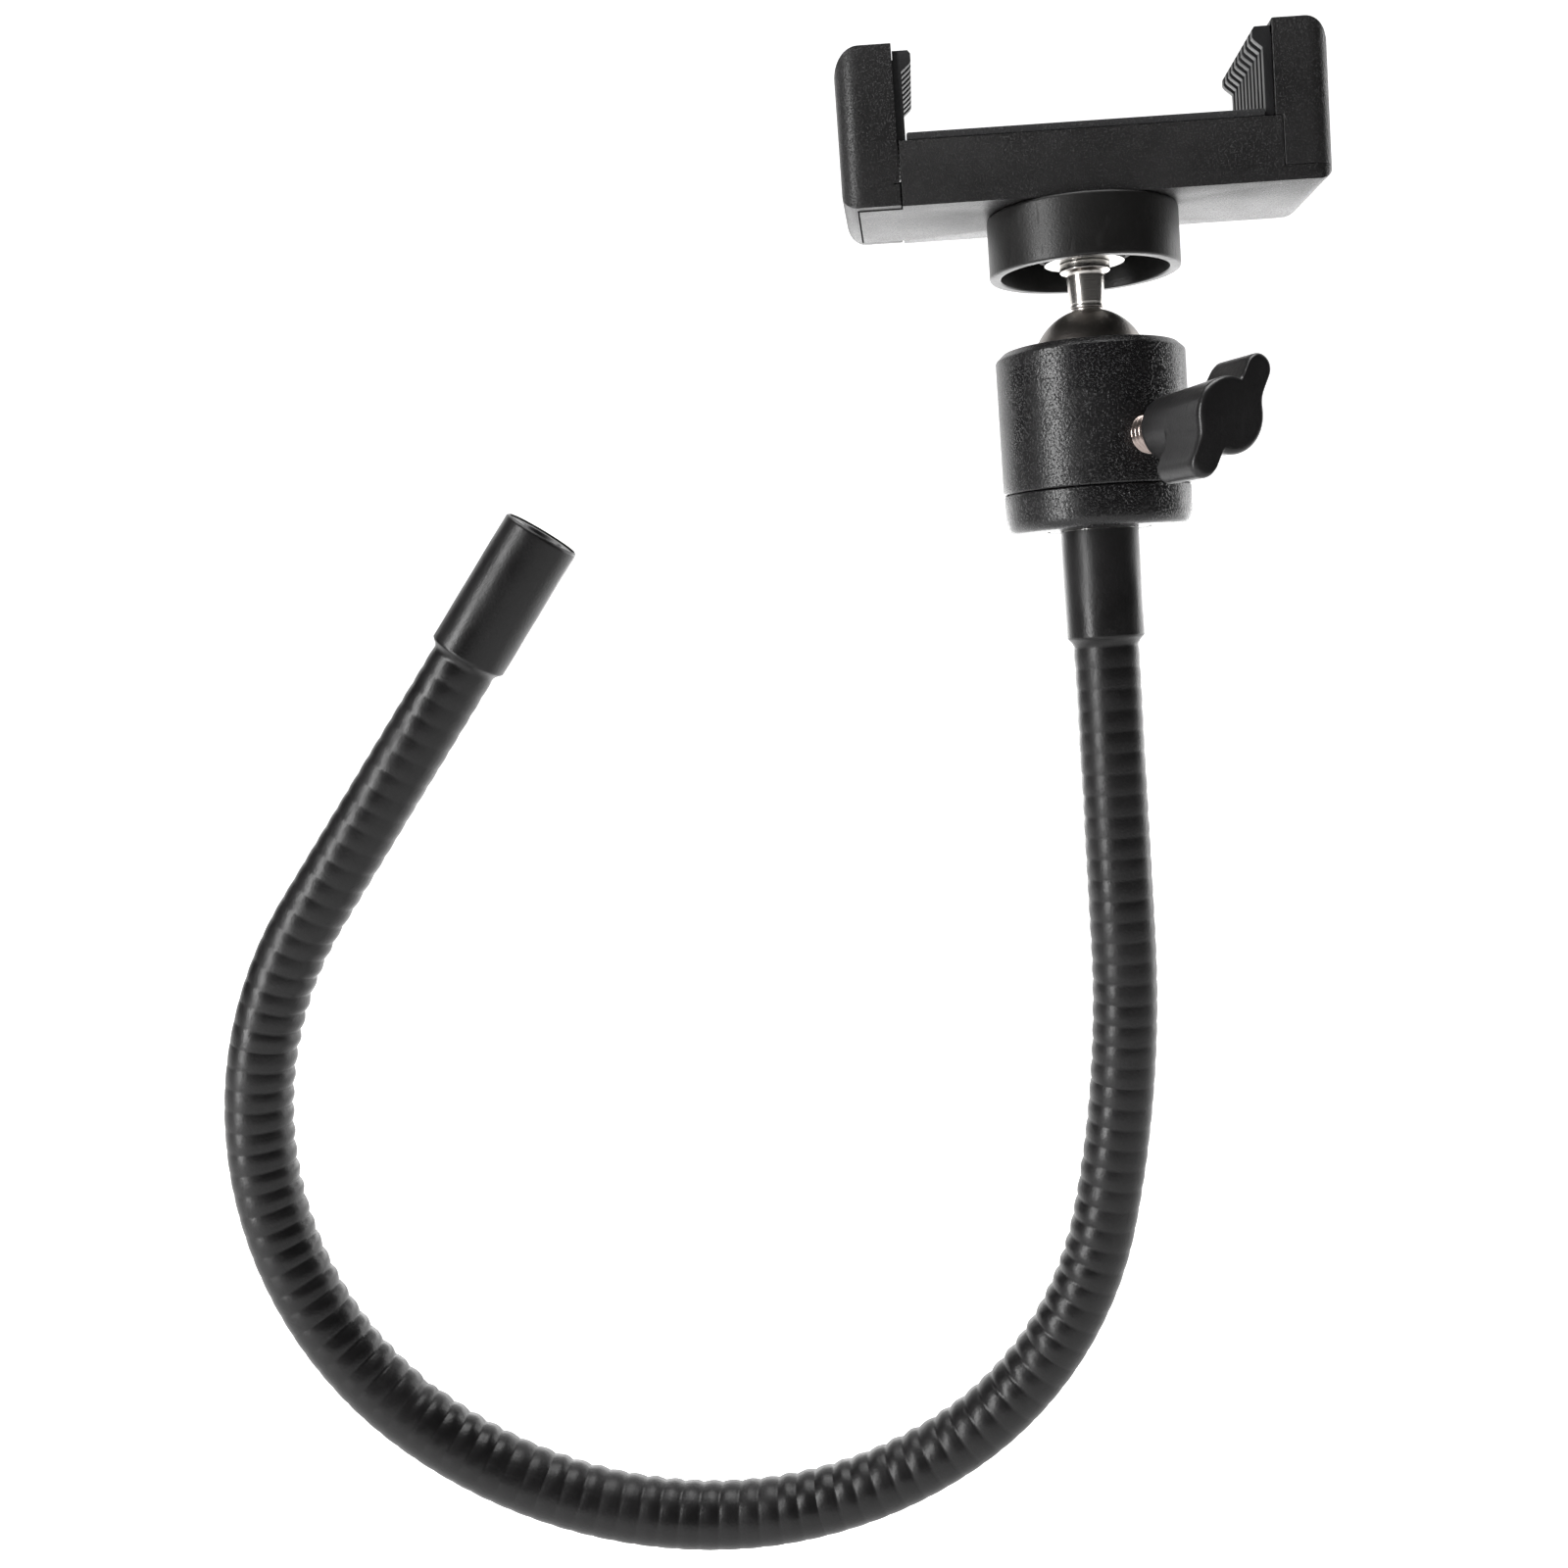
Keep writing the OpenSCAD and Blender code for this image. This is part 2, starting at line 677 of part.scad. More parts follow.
// The sliding jaw: its arm wraps the end of the beam's floor, and its tongue
// runs in the beam as two rails that pass the nut's boss
module moving_jaw() {
    color(black_plastic) at_clamp() {
        difference() {
            mirror([1, 0, 0]) difference() {
                intersection() {
                    linear_extrude(jaw_h) clamp_plan();
                    through_depth() arm_side(0.15);
                }
                pad_pocket(0);
            }
            translate([-plate_end - free_gap, -tongue_y - free_gap, -1])
                cube([half, 2 * (tongue_y + free_gap), hook_z + 1]);
            translate([-jaw_x - 0.9, -clamp_d, hook_z + 0.9])
                cube([1, clamp_d / 2 + 0.3, 0.25]);
        }
        translate([-jaw_x - 1, -tongue_y, tongue_z])
            cube([cross_x + jaw_x + 1, 2 * tongue_y, tongue_t]);
        for (j = [-1, 1]) {
            translate([cross_x - 1, min(j * rail_in, j * tongue_y), tongue_z])
                cube([tongue_reach - cross_x + 1, tongue_y - rail_in, tongue_t]);
            translate([post_near, j * spring_y, tongue_z])
                cylinder(h = spring_z + spring_d / 2 - tongue_z, r = post_r, $fn = coarse);
        }
    }
}

// One hooked rubber rib on the +X side, seen from the front
module rib_side() {
    x = jaw_x - rib_t;
    lip_h = 2;
    polygon([
        [jaw_x, pad_low], [x, pad_low], [x, pad_top - lip_h - lip * 0.7],
        [x - lip + 0.3, pad_top - lip_h], [x - lip, pad_top - lip_h + 0.4],
        [x - lip, pad_top - 0.5], [x - lip + 0.4, pad_top], [jaw_x, pad_top]
    ]);
}

// Comb of rubber ribs with its backing in the arm's pocket
module jaw_pad() {
    y = pad_y - seam;
    low = pad_low + seam;
    color(black_rubber) {
        translate([jaw_x, -y, low]) cube([pad_plate - seam, 2 * y, pad_top - 1.2 - seam - low]);
        for (i = [0 : rib_n - 1])
            translate([-seam, (i - (rib_n - 1) / 2) * rib_pitch, 0])
                through_depth(rib_w) rib_side();
        translate([jaw_x - 0.4, -y, low]) cube([0.6, 2 * y, pad_top - 1.2 - seam - low]);
    }
}
module fixed_jaw_pad() { at_clamp() jaw_pad(); }
module moving_jaw_pad() { at_clamp() mirror([1, 0, 0]) jaw_pad(); }

module foam_pad() {
    color([0.2, 0.2, 0.2]) at_clamp()
        translate([-foam_x, -clamp_d / 2, foam_z])
            cube([2 * foam_x, clamp_d, foam_t]);
}

// Closely wound tension spring with a loop round each post
module spring_at(j) {
    r = spring_d / 2;
    loop_r = post_r + 0.2 + spring_wire / 2;
    x0 = post_near + loop_r + spring_wire / 4;
    x1 = post_far - loop_r - spring_wire / 4;
    color(steel) at_clamp() translate([0, j * spring_y, spring_z]) {
        translate([x0, 0, 0]) rotate([0, 90, 0]) difference() {
            cylinder(h = x1 - x0, r = r, $fn = coarse);
            translate([0, 0, spring_wire])
                cylinder(h = x1 - x0 - 2 * spring_wire, r = r - spring_wire, $fn = coarse);
        }
        for (x = [post_near, post_far]) translate([x, 0, 0])
            rotate_extrude($fn = coarse) translate([loop_r, 0]) circle(spring_wire / 2, $fn = 16);
    }
}
module front_spring() { spring_at(-1); }
module rear_spring() { spring_at(1); }

neck_sleeve();
foot_ferrule();
neck_coil_1();
neck_coil_2();
neck_coil_3();
neck_coil_4();
neck_coil_5();
neck_coil_6();
neck_coil_7();
neck_coil_8();
head_ferrule();
base_plate();
ball_housing();
pressure_block();
ball_cup();
ball_stem();
lock_screw();
lock_knob();
lock_disc();
disc_nut();
clamp_body();
clamp_cover();
cover_screws();
tripod_nut();
fixed_jaw();
moving_jaw();
fixed_jaw_pad();
moving_jaw_pad();
foam_pad();
front_spring();
rear_spring();
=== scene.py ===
import json
import logging
import math
from collections.abc import Callable
from dataclasses import dataclass, field
from enum import Enum

import bmesh
import bpy
import numpy as np
from mathutils import Matrix, Vector


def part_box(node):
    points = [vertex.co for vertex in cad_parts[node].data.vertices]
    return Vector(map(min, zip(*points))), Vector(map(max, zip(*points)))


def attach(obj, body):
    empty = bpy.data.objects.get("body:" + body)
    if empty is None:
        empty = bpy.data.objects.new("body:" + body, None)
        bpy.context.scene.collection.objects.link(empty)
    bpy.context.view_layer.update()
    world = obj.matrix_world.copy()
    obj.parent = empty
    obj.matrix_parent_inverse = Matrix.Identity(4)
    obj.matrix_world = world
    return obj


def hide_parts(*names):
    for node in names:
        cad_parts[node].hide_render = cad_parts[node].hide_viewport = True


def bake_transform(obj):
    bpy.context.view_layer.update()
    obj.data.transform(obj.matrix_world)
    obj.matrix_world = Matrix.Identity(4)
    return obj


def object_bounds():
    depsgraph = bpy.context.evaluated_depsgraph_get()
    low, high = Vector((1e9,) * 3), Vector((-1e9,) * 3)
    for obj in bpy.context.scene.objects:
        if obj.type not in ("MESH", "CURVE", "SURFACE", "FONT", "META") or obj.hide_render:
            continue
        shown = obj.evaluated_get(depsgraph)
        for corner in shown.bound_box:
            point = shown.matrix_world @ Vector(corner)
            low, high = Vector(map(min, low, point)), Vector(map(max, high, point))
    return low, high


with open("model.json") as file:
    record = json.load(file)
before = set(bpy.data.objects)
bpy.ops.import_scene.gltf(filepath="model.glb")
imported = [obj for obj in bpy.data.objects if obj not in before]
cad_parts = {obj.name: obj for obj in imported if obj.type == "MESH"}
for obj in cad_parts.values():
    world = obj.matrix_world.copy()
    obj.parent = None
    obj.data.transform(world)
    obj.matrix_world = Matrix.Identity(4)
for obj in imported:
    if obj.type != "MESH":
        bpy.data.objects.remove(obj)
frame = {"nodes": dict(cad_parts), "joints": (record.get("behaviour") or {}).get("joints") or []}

MM = 0.001
TINY = 1e-6
LOG = logging.getLogger("phone_mount")
CAD_BOX = [list(corner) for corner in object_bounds()]

Point = tuple[float, float, float]
Pair = tuple[float, float]
Thread = tuple[float, float, float, float]
Tree = bpy.types.NodeTree
Socket = bpy.types.NodeSocket

# Points closer than this, in metres, are one: in drawn pieces, and in copies of the CAD nodes
DRAWN_MERGE = 2e-7
CAD_MERGE = 2e-6

# Pitch of the camera thread on the stud and in the foot's mouth, in millimetres
STUD_PITCH = 1.27

# Stretches of a noise's values: clouds use the middle, dots and scratches the high end
CLOUD_CUT = (0.3, 0.7)
DOT_CUT = (0.56, 0.70)
SCRATCH_CUT = (0.66, 0.72)

SCRATCH_TURN = (0.5, 0.9, 0.35)
SCRATCH_STRETCH = (1.0, 14.0, 1.0)
SCRATCH_SIZE = 4.0
RING_STRETCH = (0.12, 0.12, 1.0)


def combined(tree: Tree, word: str, *values: Socket | float) -> Socket:
    """Add one Math node.

    Args:
        tree: The nodes that it joins.
        word: Its operation.
        values: Sockets or plain numbers, in the order of its inputs.

    Returns:
        Its value.
    """
    node = tree.nodes.new("ShaderNodeMath")
    node.operation = word
    for entry, value in zip(node.inputs, values):
        if isinstance(value, (int, float)):
            entry.default_value = value
        else:
            tree.links.new(value, entry)
    return node.outputs["Value"]


def carried(tree: Tree, value: Socket, low: float, high: float, cut: Pair) -> Socket:
    """Carry a value from the two ends of a cut to low and high.

    Args:
        tree: The nodes that it joins.
        value: The value to carry.
        low: What the cut's start becomes.
        high: What the cut's end becomes.
        cut: Start and end of the stretch of values that counts.

    Returns:
        The carried value.
    """
    node = tree.nodes.new("ShaderNodeMapRange")
    for key, number in (("From Min", cut[0]), ("From Max", cut[1]), ("To Min", low), ("To Max", high)):
        node.inputs[key].default_value = number
    tree.links.new(value, node.inputs["Value"])
    return node.outputs["Result"]


class Pattern(Enum):
    """How the fine relief of a finish is laid over a surface."""

    GRAIN = "even grain"
    TURNED = "fine rings round the vertical axis"


@dataclass(frozen=True)
class Finish:
    """One surface finish, made of procedural nodes on Object coordinates.

    Sizes of patterns are in millimetres, colours are linear RGB.
    """

    name: str
    colour: Point
    rough: Pair = (0.4, 0.5)
    metallic: float = 0.0
    specular: float = 0.5
    vary: float = 0.25
    cloud: float = 12.0
    grain: float = 0.25
    relief: float = 0.03
    pattern: Pattern = Pattern.GRAIN
    speckle: float = 0.0
    speckle_size: float = 0.3
    speckle_colour: Point = (0.25, 0.25, 0.26)
    scratches: float = 0.0

    def material(self) -> bpy.types.Material:
        """Build the finish's material.

        Returns:
            The new material.
        """
        made = bpy.data.materials.new(self.name)
        made.use_nodes = True
        made.diffuse_color = (*self.colour, 1.0)
        tree = made.node_tree
        shader = tree.nodes["Principled BSDF"]
        shader.inputs["Metallic"].default_value = self.metallic
        shader.inputs["Specular IOR Level"].default_value = self.specular
        place = tree.nodes.new("ShaderNodeTexCoord").outputs["Object"]
        cloud = self._noise(tree, place, self.cloud, 3.0)
        colour = self._mix(tree, cloud, self._toned(1 - self.vary), self._toned(1 + self.vary))
        rough = carried(tree, cloud, *self.rough, CLOUD_CUT)
        grain = self._noise(tree, self._stretched(tree, place), self.grain, 2.0)
        height = grain
        if self.speckle > 0:
            dots = self._noise(tree, place, self.speckle_size, 1.0)
            share = carried(tree, dots, 0.0, 1.0, DOT_CUT)
            held = combined(tree, "MULTIPLY", share, self.speckle)
            colour = self._blend(tree, held, colour, self.speckle_colour)
            height = combined(tree, "ADD", grain, share)
        if self.scratches > 0:
            turned = tree.nodes.new("ShaderNodeMapping")
            turned.inputs["Rotation"].default_value = SCRATCH_TURN
            turned.inputs["Scale"].default_value = SCRATCH_STRETCH
            tree.links.new(place, turned.inputs["Vector"])
            lines = self._noise(tree, turned.outputs["Vector"], SCRATCH_SIZE, 0.0)
            mark = carried(tree, lines, 0.0, self.scratches, SCRATCH_CUT)
            rough = combined(tree, "ADD", rough, mark)
        tree.links.new(colour, shader.inputs["Base Color"])
        tree.links.new(rough, shader.inputs["Roughness"])
        bump = tree.nodes.new("ShaderNodeBump")
        bump.inputs["Distance"].default_value = self.relief * MM
        bump.inputs["Strength"].default_value = 1.0
        tree.links.new(height, bump.inputs["Height"])
        tree.links.new(bump.outputs["Normal"], shader.inputs["Normal"])
        return made

    def _toned(self, share: float) -> tuple[float, float, float, float]:
        """The base colour times a share, with full alpha."""
        return (*(min(c * share, 1.0) for c in self.colour), 1.0)

    def _stretched(self, tree: Tree, place: Socket) -> Socket:
        """Coordinates for the fine relief, drawn out as the pattern asks.

        Args:
            tree: The material's nodes.
            place: Object coordinates.

        Returns:
            The coordinates to read the relief at.
        """
        if self.pattern is Pattern.GRAIN:
            return place
        drawn = tree.nodes.new("ShaderNodeMapping")
        drawn.inputs["Scale"].default_value = RING_STRETCH
        tree.links.new(place, drawn.inputs["Vector"])
        return drawn.outputs["Vector"]

    def _noise(self, tree: Tree, place: Socket, size: float, detail: float) -> Socket:
        """Noise whose spots are about size millimetres across."""
        noise = tree.nodes.new("ShaderNodeTexNoise")
        noise.inputs["Scale"].default_value = 1.0 / (size * MM)
        noise.inputs["Detail"].default_value = detail
        tree.links.new(place, noise.inputs["Vector"])
        return noise.outputs["Fac"]

    def _mix(self, tree: Tree, share: Socket, a: tuple, b: tuple) -> Socket:
        """A colour between a and b by the noise value."""
        ramp = tree.nodes.new("ShaderNodeValToRGB")
        for stop, position, colour in zip(ramp.color_ramp.elements, CLOUD_CUT, (a, b)):
            stop.position = position
            stop.color = colour
        tree.links.new(share, ramp.inputs["Fac"])
        return ramp.outputs["Color"]

    def _blend(self, tree: Tree, share: Socket, a: Socket, b: Point) -> Socket:
        """Lay colour b over colour a by a share."""
        under, over, result = 6, 7, 2
        node = tree.nodes.new("ShaderNodeMix")
        node.data_type = "RGBA"
        tree.links.new(share, node.inputs["Factor"])
        tree.links.new(a, node.inputs[under])
        node.inputs[over].default_value = (*b, 1.0)
        return node.outputs[result]


SLEEVE = Finish("sleeve_skin", (0.0068, 0.0063, 0.0066), (0.3, 0.42), specular=0.42, vary=0.3, cloud=9,
                grain=0.4, scratches=0.06)
FOOT_METAL = Finish("blackened_foot", (0.012, 0.012, 0.013), (0.3, 0.42), grain=0.2, relief=0.012,
                    pattern=Pattern.TURNED)
HOUSING = Finish("speckled_coat", (0.0078, 0.0075, 0.008), (0.24, 0.32), grain=0.36, relief=0.07,
                 speckle=0.16, speckle_colour=(0.05, 0.05, 0.053))
BALL = Finish("black_chrome", (0.26, 0.24, 0.225), (0.34, 0.46), 1.0, grain=0.34, relief=0.04)
STEM = Finish("turned_stem", (0.66, 0.63, 0.6), (0.2, 0.3), 1.0, vary=0.1, grain=0.3, relief=0.01,
              pattern=Pattern.TURNED)
SCREW = Finish("bright_screw", (0.46, 0.38, 0.35), (0.24, 0.34), 1.0, vary=0.15, grain=0.3, relief=0.008)
ZINC = Finish("zinc_plate", (0.62, 0.62, 0.6), (0.25, 0.38), 1.0, vary=0.12, relief=0.01)
KNOB = Finish("glossy_black", (0.012, 0.0115, 0.012), (0.3, 0.4), grain=0.4, scratches=0.08)
DISC = Finish("smooth_black", (0.0095, 0.0091, 0.0089), (0.34, 0.44), specular=0.42, grain=0.34,
              relief=0.04, scratches=0.1)
CLAMP = Finish("grained_black", (0.0105, 0.01, 0.0102), (0.38, 0.48), vary=0.2, grain=0.34, relief=0.075,
               speckle=0.15, speckle_size=0.26, speckle_colour=(0.06, 0.06, 0.062))
PAD = Finish("pad_rubber", (0.016, 0.016, 0.017), (0.4, 0.52), grain=0.3)
FOAM = Finish("cell_foam", (0.02, 0.02, 0.021), (0.8, 0.95), grain=0.5, relief=0.12,
              speckle=0.4, speckle_size=0.35, speckle_colour=(0.09, 0.09, 0.09))
NYLON = Finish("plain_nylon", (0.7, 0.69, 0.64), grain=0.4, relief=0.01)
BRASS = Finish("turned_brass", (0.72, 0.5, 0.22), (0.25, 0.35), 1.0, grain=0.2, relief=0.01,
               pattern=Pattern.TURNED)
FLOOR_WHITE = (0.86, 0.86, 0.86)
FLOOR_ROUGH = 0.9


class Dresser:
    """Keeps one material for each finish and puts it on pieces and CAD nodes."""

    def __init__(self) -> None:
        """Start with no materials made."""
        self.made: dict[str, bpy.types.Material] = {}

    def _material(self, finish: Finish) -> bpy.types.Material:
        """The finish's material, built when it is first asked for."""
        if finish.name not in self.made:
            self.made[finish.name] = finish.material()
        return self.made[finish.name]

    def dress(self, piece: bpy.types.Object, finish: Finish) -> None:
        """Give a piece or a CAD node one finish.

        Args:
            piece: The object to dress.
            finish: The finish it gets.
        """
        piece.data.materials.clear()
        piece.data.materials.append(self._material(finish))
        piece.data.polygons.foreach_set("material_index", np.zeros(len(piece.data.polygons), np.int32))

    def add(self, piece: bpy.types.Object, finish: Finish, where: Callable[[np.ndarray], np.ndarray]) -> None:
        """Give some faces of a dressed piece another finish.

        Args:
            piece: The dressed piece.
            finish: The other finish.
            where: Takes the faces' middles in metres and says which get it.
        """
        piece.data.materials.append(self._material(finish))
        middle = np.empty(len(piece.data.polygons) * 3, np.float32)
        piece.data.polygons.foreach_get("center", middle)
        piece.data.polygons.foreach_set("material_index", where(middle.reshape(-1, 3)).astype(np.int32))


DRESSER = Dresser()


def surface(name: str, points: np.ndarray, loop: bool = False, sharp: float = 40.0) -> bpy.types.Object:
    """Make a closed surface from a grid of points.

    Row i and column j of the grid join to the next row and the next column,
    and the columns run round. The rows run round too if loop is set, and
    otherwise the first and last row each get a flat end.

    Args:
        name: The piece's name.
        points: Places in millimetres, shaped (rows, columns, 3).
        loop: Whether the last row joins the first.
        sharp: Angle in degrees past which an edge is shaded sharp.

    Returns:
        The new object, at the origin.
    """
    rows, columns = points.shape[:2]
    index = np.arange(rows * columns).reshape(rows, columns)
    upper = np.roll(index, -1, axis=0) if loop else index[1:]
    lower = index if loop else index[:-1]
    quads = np.stack([lower, np.roll(lower, -1, axis=1), np.roll(upper, -1, axis=1), upper], axis=-1)
    faces = quads.reshape(-1, 4).tolist()
    if not loop:
        faces += [index[0, ::-1].tolist(), index[-1].tolist()]
    mesh = bpy.data.meshes.new(name)
    mesh.from_pydata((points.reshape(-1, 3) * MM).tolist(), [], faces)
    return finished(name, mesh, sharp)


def finished(name: str, mesh: bpy.types.Mesh, sharp: float) -> bpy.types.Object:
    """Merge doubles, point faces outwards, shade, and link the mesh.

    Args:
        name: The piece's name.
        mesh: The mesh to finish.
        sharp: Angle in degrees past which an edge is shaded sharp.

    Returns:
        The new object.
    """
    work = bmesh.new()
    work.from_mesh(mesh)
    bmesh.ops.remove_doubles(work, verts=work.verts, dist=DRAWN_MERGE)
    bmesh.ops.recalc_face_normals(work, faces=work.faces)
    if work.calc_volume(signed=True) < 0:
        bmesh.ops.reverse_faces(work, faces=work.faces)
    work.to_mesh(mesh)
    work.free()
    mesh.shade_smooth()
    mesh.set_sharp_from_angle(angle=math.radians(sharp))
    piece = bpy.data.objects.new(name, mesh)
    bpy.context.scene.collection.objects.link(piece)
    return piece


def rounded(corners: list[Point], closed: bool = False, steps: int = 5) -> np.ndarray:
    """Line through corners, each cut by an arc of its own radius.

    An arc starts and ends where its circle touches the two edges. That is
    its radius times the tangent of half the turn away from the corner.

    Args:
        corners: Triples of x, y and radius.
        closed: Whether the last corner joins the first.
        steps: Points on each arc, less one.

    Returns:
        The points, shaped (count, 2).
    """
    out: list[np.ndarray] = []
    count = len(corners)
    for i, (x, y, radius) in enumerate(corners):
        here = np.array([x, y])
        if radius <= 0 or (not closed and i in (0, count - 1)):
            out.append(here[None])
            continue
        before = np.array(corners[i - 1][:2]) - here
        after = np.array(corners[(i + 1) % count][:2]) - here
        a, b = before / np.linalg.norm(before), after / np.linalg.norm(after)
        half = math.acos(float(np.clip(a @ b, -1, 1))) / 2
        reach = radius / math.tan(half)
        middle = here + (a + b) / np.linalg.norm(a + b) * radius / math.sin(half)
        start, end = here + a * reach - middle, here + b * reach - middle
        turn = math.pi - 2 * half
        share = np.linspace(0, 1, steps + 1)[:, None]
        arc = (start * np.sin((1 - share) * turn) + end * np.sin(share * turn)) / math.sin(turn)
        out.append(middle + arc)
    return np.concatenate(out)


def dense(line: np.ndarray, longest: float) -> np.ndarray:
    """Add points to a line so that no stretch is longer than a length.

    Args:
        line: Points shaped (count, 2).
        longest: The longest stretch allowed.

    Returns:
        The denser line.
    """
    out = [line[:1]]
    for a, b in zip(line[:-1], line[1:]):
        parts = max(1, math.ceil(float(np.linalg.norm(b - a)) / longest))
        out.append(a + (b - a) * np.linspace(0, 1, parts + 1)[1:, None])
    return np.concatenate(out)


def quarter(share: np.ndarray) -> np.ndarray:
    """Height of a quarter circle, from 0 where share is 0 to 1 where it is 1."""
    return np.sqrt(1 - (1 - share) ** 2)


def screw_thread(height: np.ndarray, angle: np.ndarray, pitch: float, depth: float) -> np.ndarray:
    """Depth of a screw thread: a triangle wave that climbs one pitch a turn.

    The wave is taller than its room, so that crests and roots are flat.

    Args:
        height: Places along the axis.
        angle: Places round the axis, in radians.
        pitch: Rise of one turn.
        depth: From crest to root.

    Returns:
        How far the surface lies below the crest.
    """
    steep, sunk = 2.4, 0.1
    phase = (height / pitch - angle / (2 * math.pi)) % 1.0
    return depth * np.clip(steep * np.abs(phase - 0.5) - sunk, 0.0, 1.0)


@dataclass
class Axis:
    """A place with an axis and one direction square to it; the other is their cross product."""

    origin: np.ndarray
    along: np.ndarray
    across: np.ndarray

    def lathe(self, name: str, profile: np.ndarray, loop: bool = False, around: int = 128,
              thread: Thread | None = None, sharp: float = 40.0) -> bpy.types.Object:
        """Turn a profile of radius and height round the axis.

        Args:
            name: The piece's name.
            profile: Points of radius and height.
            loop: Whether the profile closes on itself.
            around: Points round the axis.
            thread: Start, end, pitch and depth of a thread cut into it.
            sharp: Angle in degrees past which an edge is shaded sharp.

        Returns:
            The new object.
        """
        angle = np.linspace(0, 2 * math.pi, around, endpoint=False)
        radius = np.repeat(profile[:, :1], around, axis=1)
        height = np.repeat(profile[:, 1:], around, axis=1)
        if thread is not None:
            start, end, pitch, depth = thread
            fade_turns = 0.6
            fade = np.clip(np.minimum(height - start, end - height) / (pitch * fade_turns), 0.0, 1.0)
            radius = radius - fade * screw_thread(height, angle[None, :], pitch, depth)
        return surface(name, self.placed(radius * np.cos(angle), radius * np.sin(angle), height), loop, sharp)

    def placed(self, x: np.ndarray, y: np.ndarray, z: np.ndarray) -> np.ndarray:
        """Carry local places to the shared frame.

        Args:
            x: Places along the first direction.
            y: Places along the second.
            z: Places along the axis.

        Returns:
            Places in millimetres.
        """
        side = np.cross(self.along, self.across)
        return self.origin + x[..., None] * self.across + y[..., None] * side + z[..., None] * self.along


@dataclass
class NeckRoute:
    """The neck's middle line in the XZ plane, in millimetres.

    The heading is a straight function of the distance along each length, so
    every bent length is an arc, and the place is the running sum of the
    heading's direction. It ends upright, a full turn past 90 degrees.
    """

    foot: float = 24.2
    length: float = 47.0
    bends: tuple[float, ...] = (0, 42, 42, 34, 38, 46, 14, 0)
    head: float = 18.4
    step: float = 0.05
    upright: float = 450.0
    bend_reach: float = 0.35
    full_bend: float = 34.0
    most_bend: float = 1.2

    def __post_init__(self) -> None:
        """Work out the heading and the place at short steps."""
        self.total = self.foot + self.length * len(self.bends) + self.head
        self.joints = self.foot + self.length * np.arange(len(self.bends) + 1)
        self.turned = np.concatenate([[0.0], np.cumsum(self.bends)])
        self.distance = np.arange(0.0, self.total + self.step, self.step)
        middle = self.heading(self.distance[:-1] + self.step / 2)
        self.x = np.concatenate([[0.0], np.cumsum(np.cos(middle))]) * self.step
        self.z = np.concatenate([[0.0], np.cumsum(np.sin(middle))]) * self.step

    def heading(self, s: np.ndarray) -> np.ndarray:
        """Heading in radians at distances s from the foot's mouth."""
        return np.radians(self.upright - self.turned[-1] + np.interp(s, self.joints, self.turned))

    def bend_share(self, s: np.ndarray) -> np.ndarray:
        """How sharply the neck bends at s, from 0 to about 1."""
        reach = self.length * self.bend_reach
        turn = self.heading(s + reach) - self.heading(s - reach)
        return np.clip(np.degrees(turn) / self.full_bend, 0.0, self.most_bend)

    def place(self, s: np.ndarray) -> np.ndarray:
        """Places of the middle line at s, in millimetres."""
        x, z = np.interp(s, self.distance, self.x), np.interp(s, self.distance, self.z)
        return np.stack([x, np.zeros_like(x), z], axis=-1)

    def point(self, s: float) -> Point:
        """One place of the middle line, in metres."""
        return tuple((self.place(np.array([s]))[0] * MM).tolist())


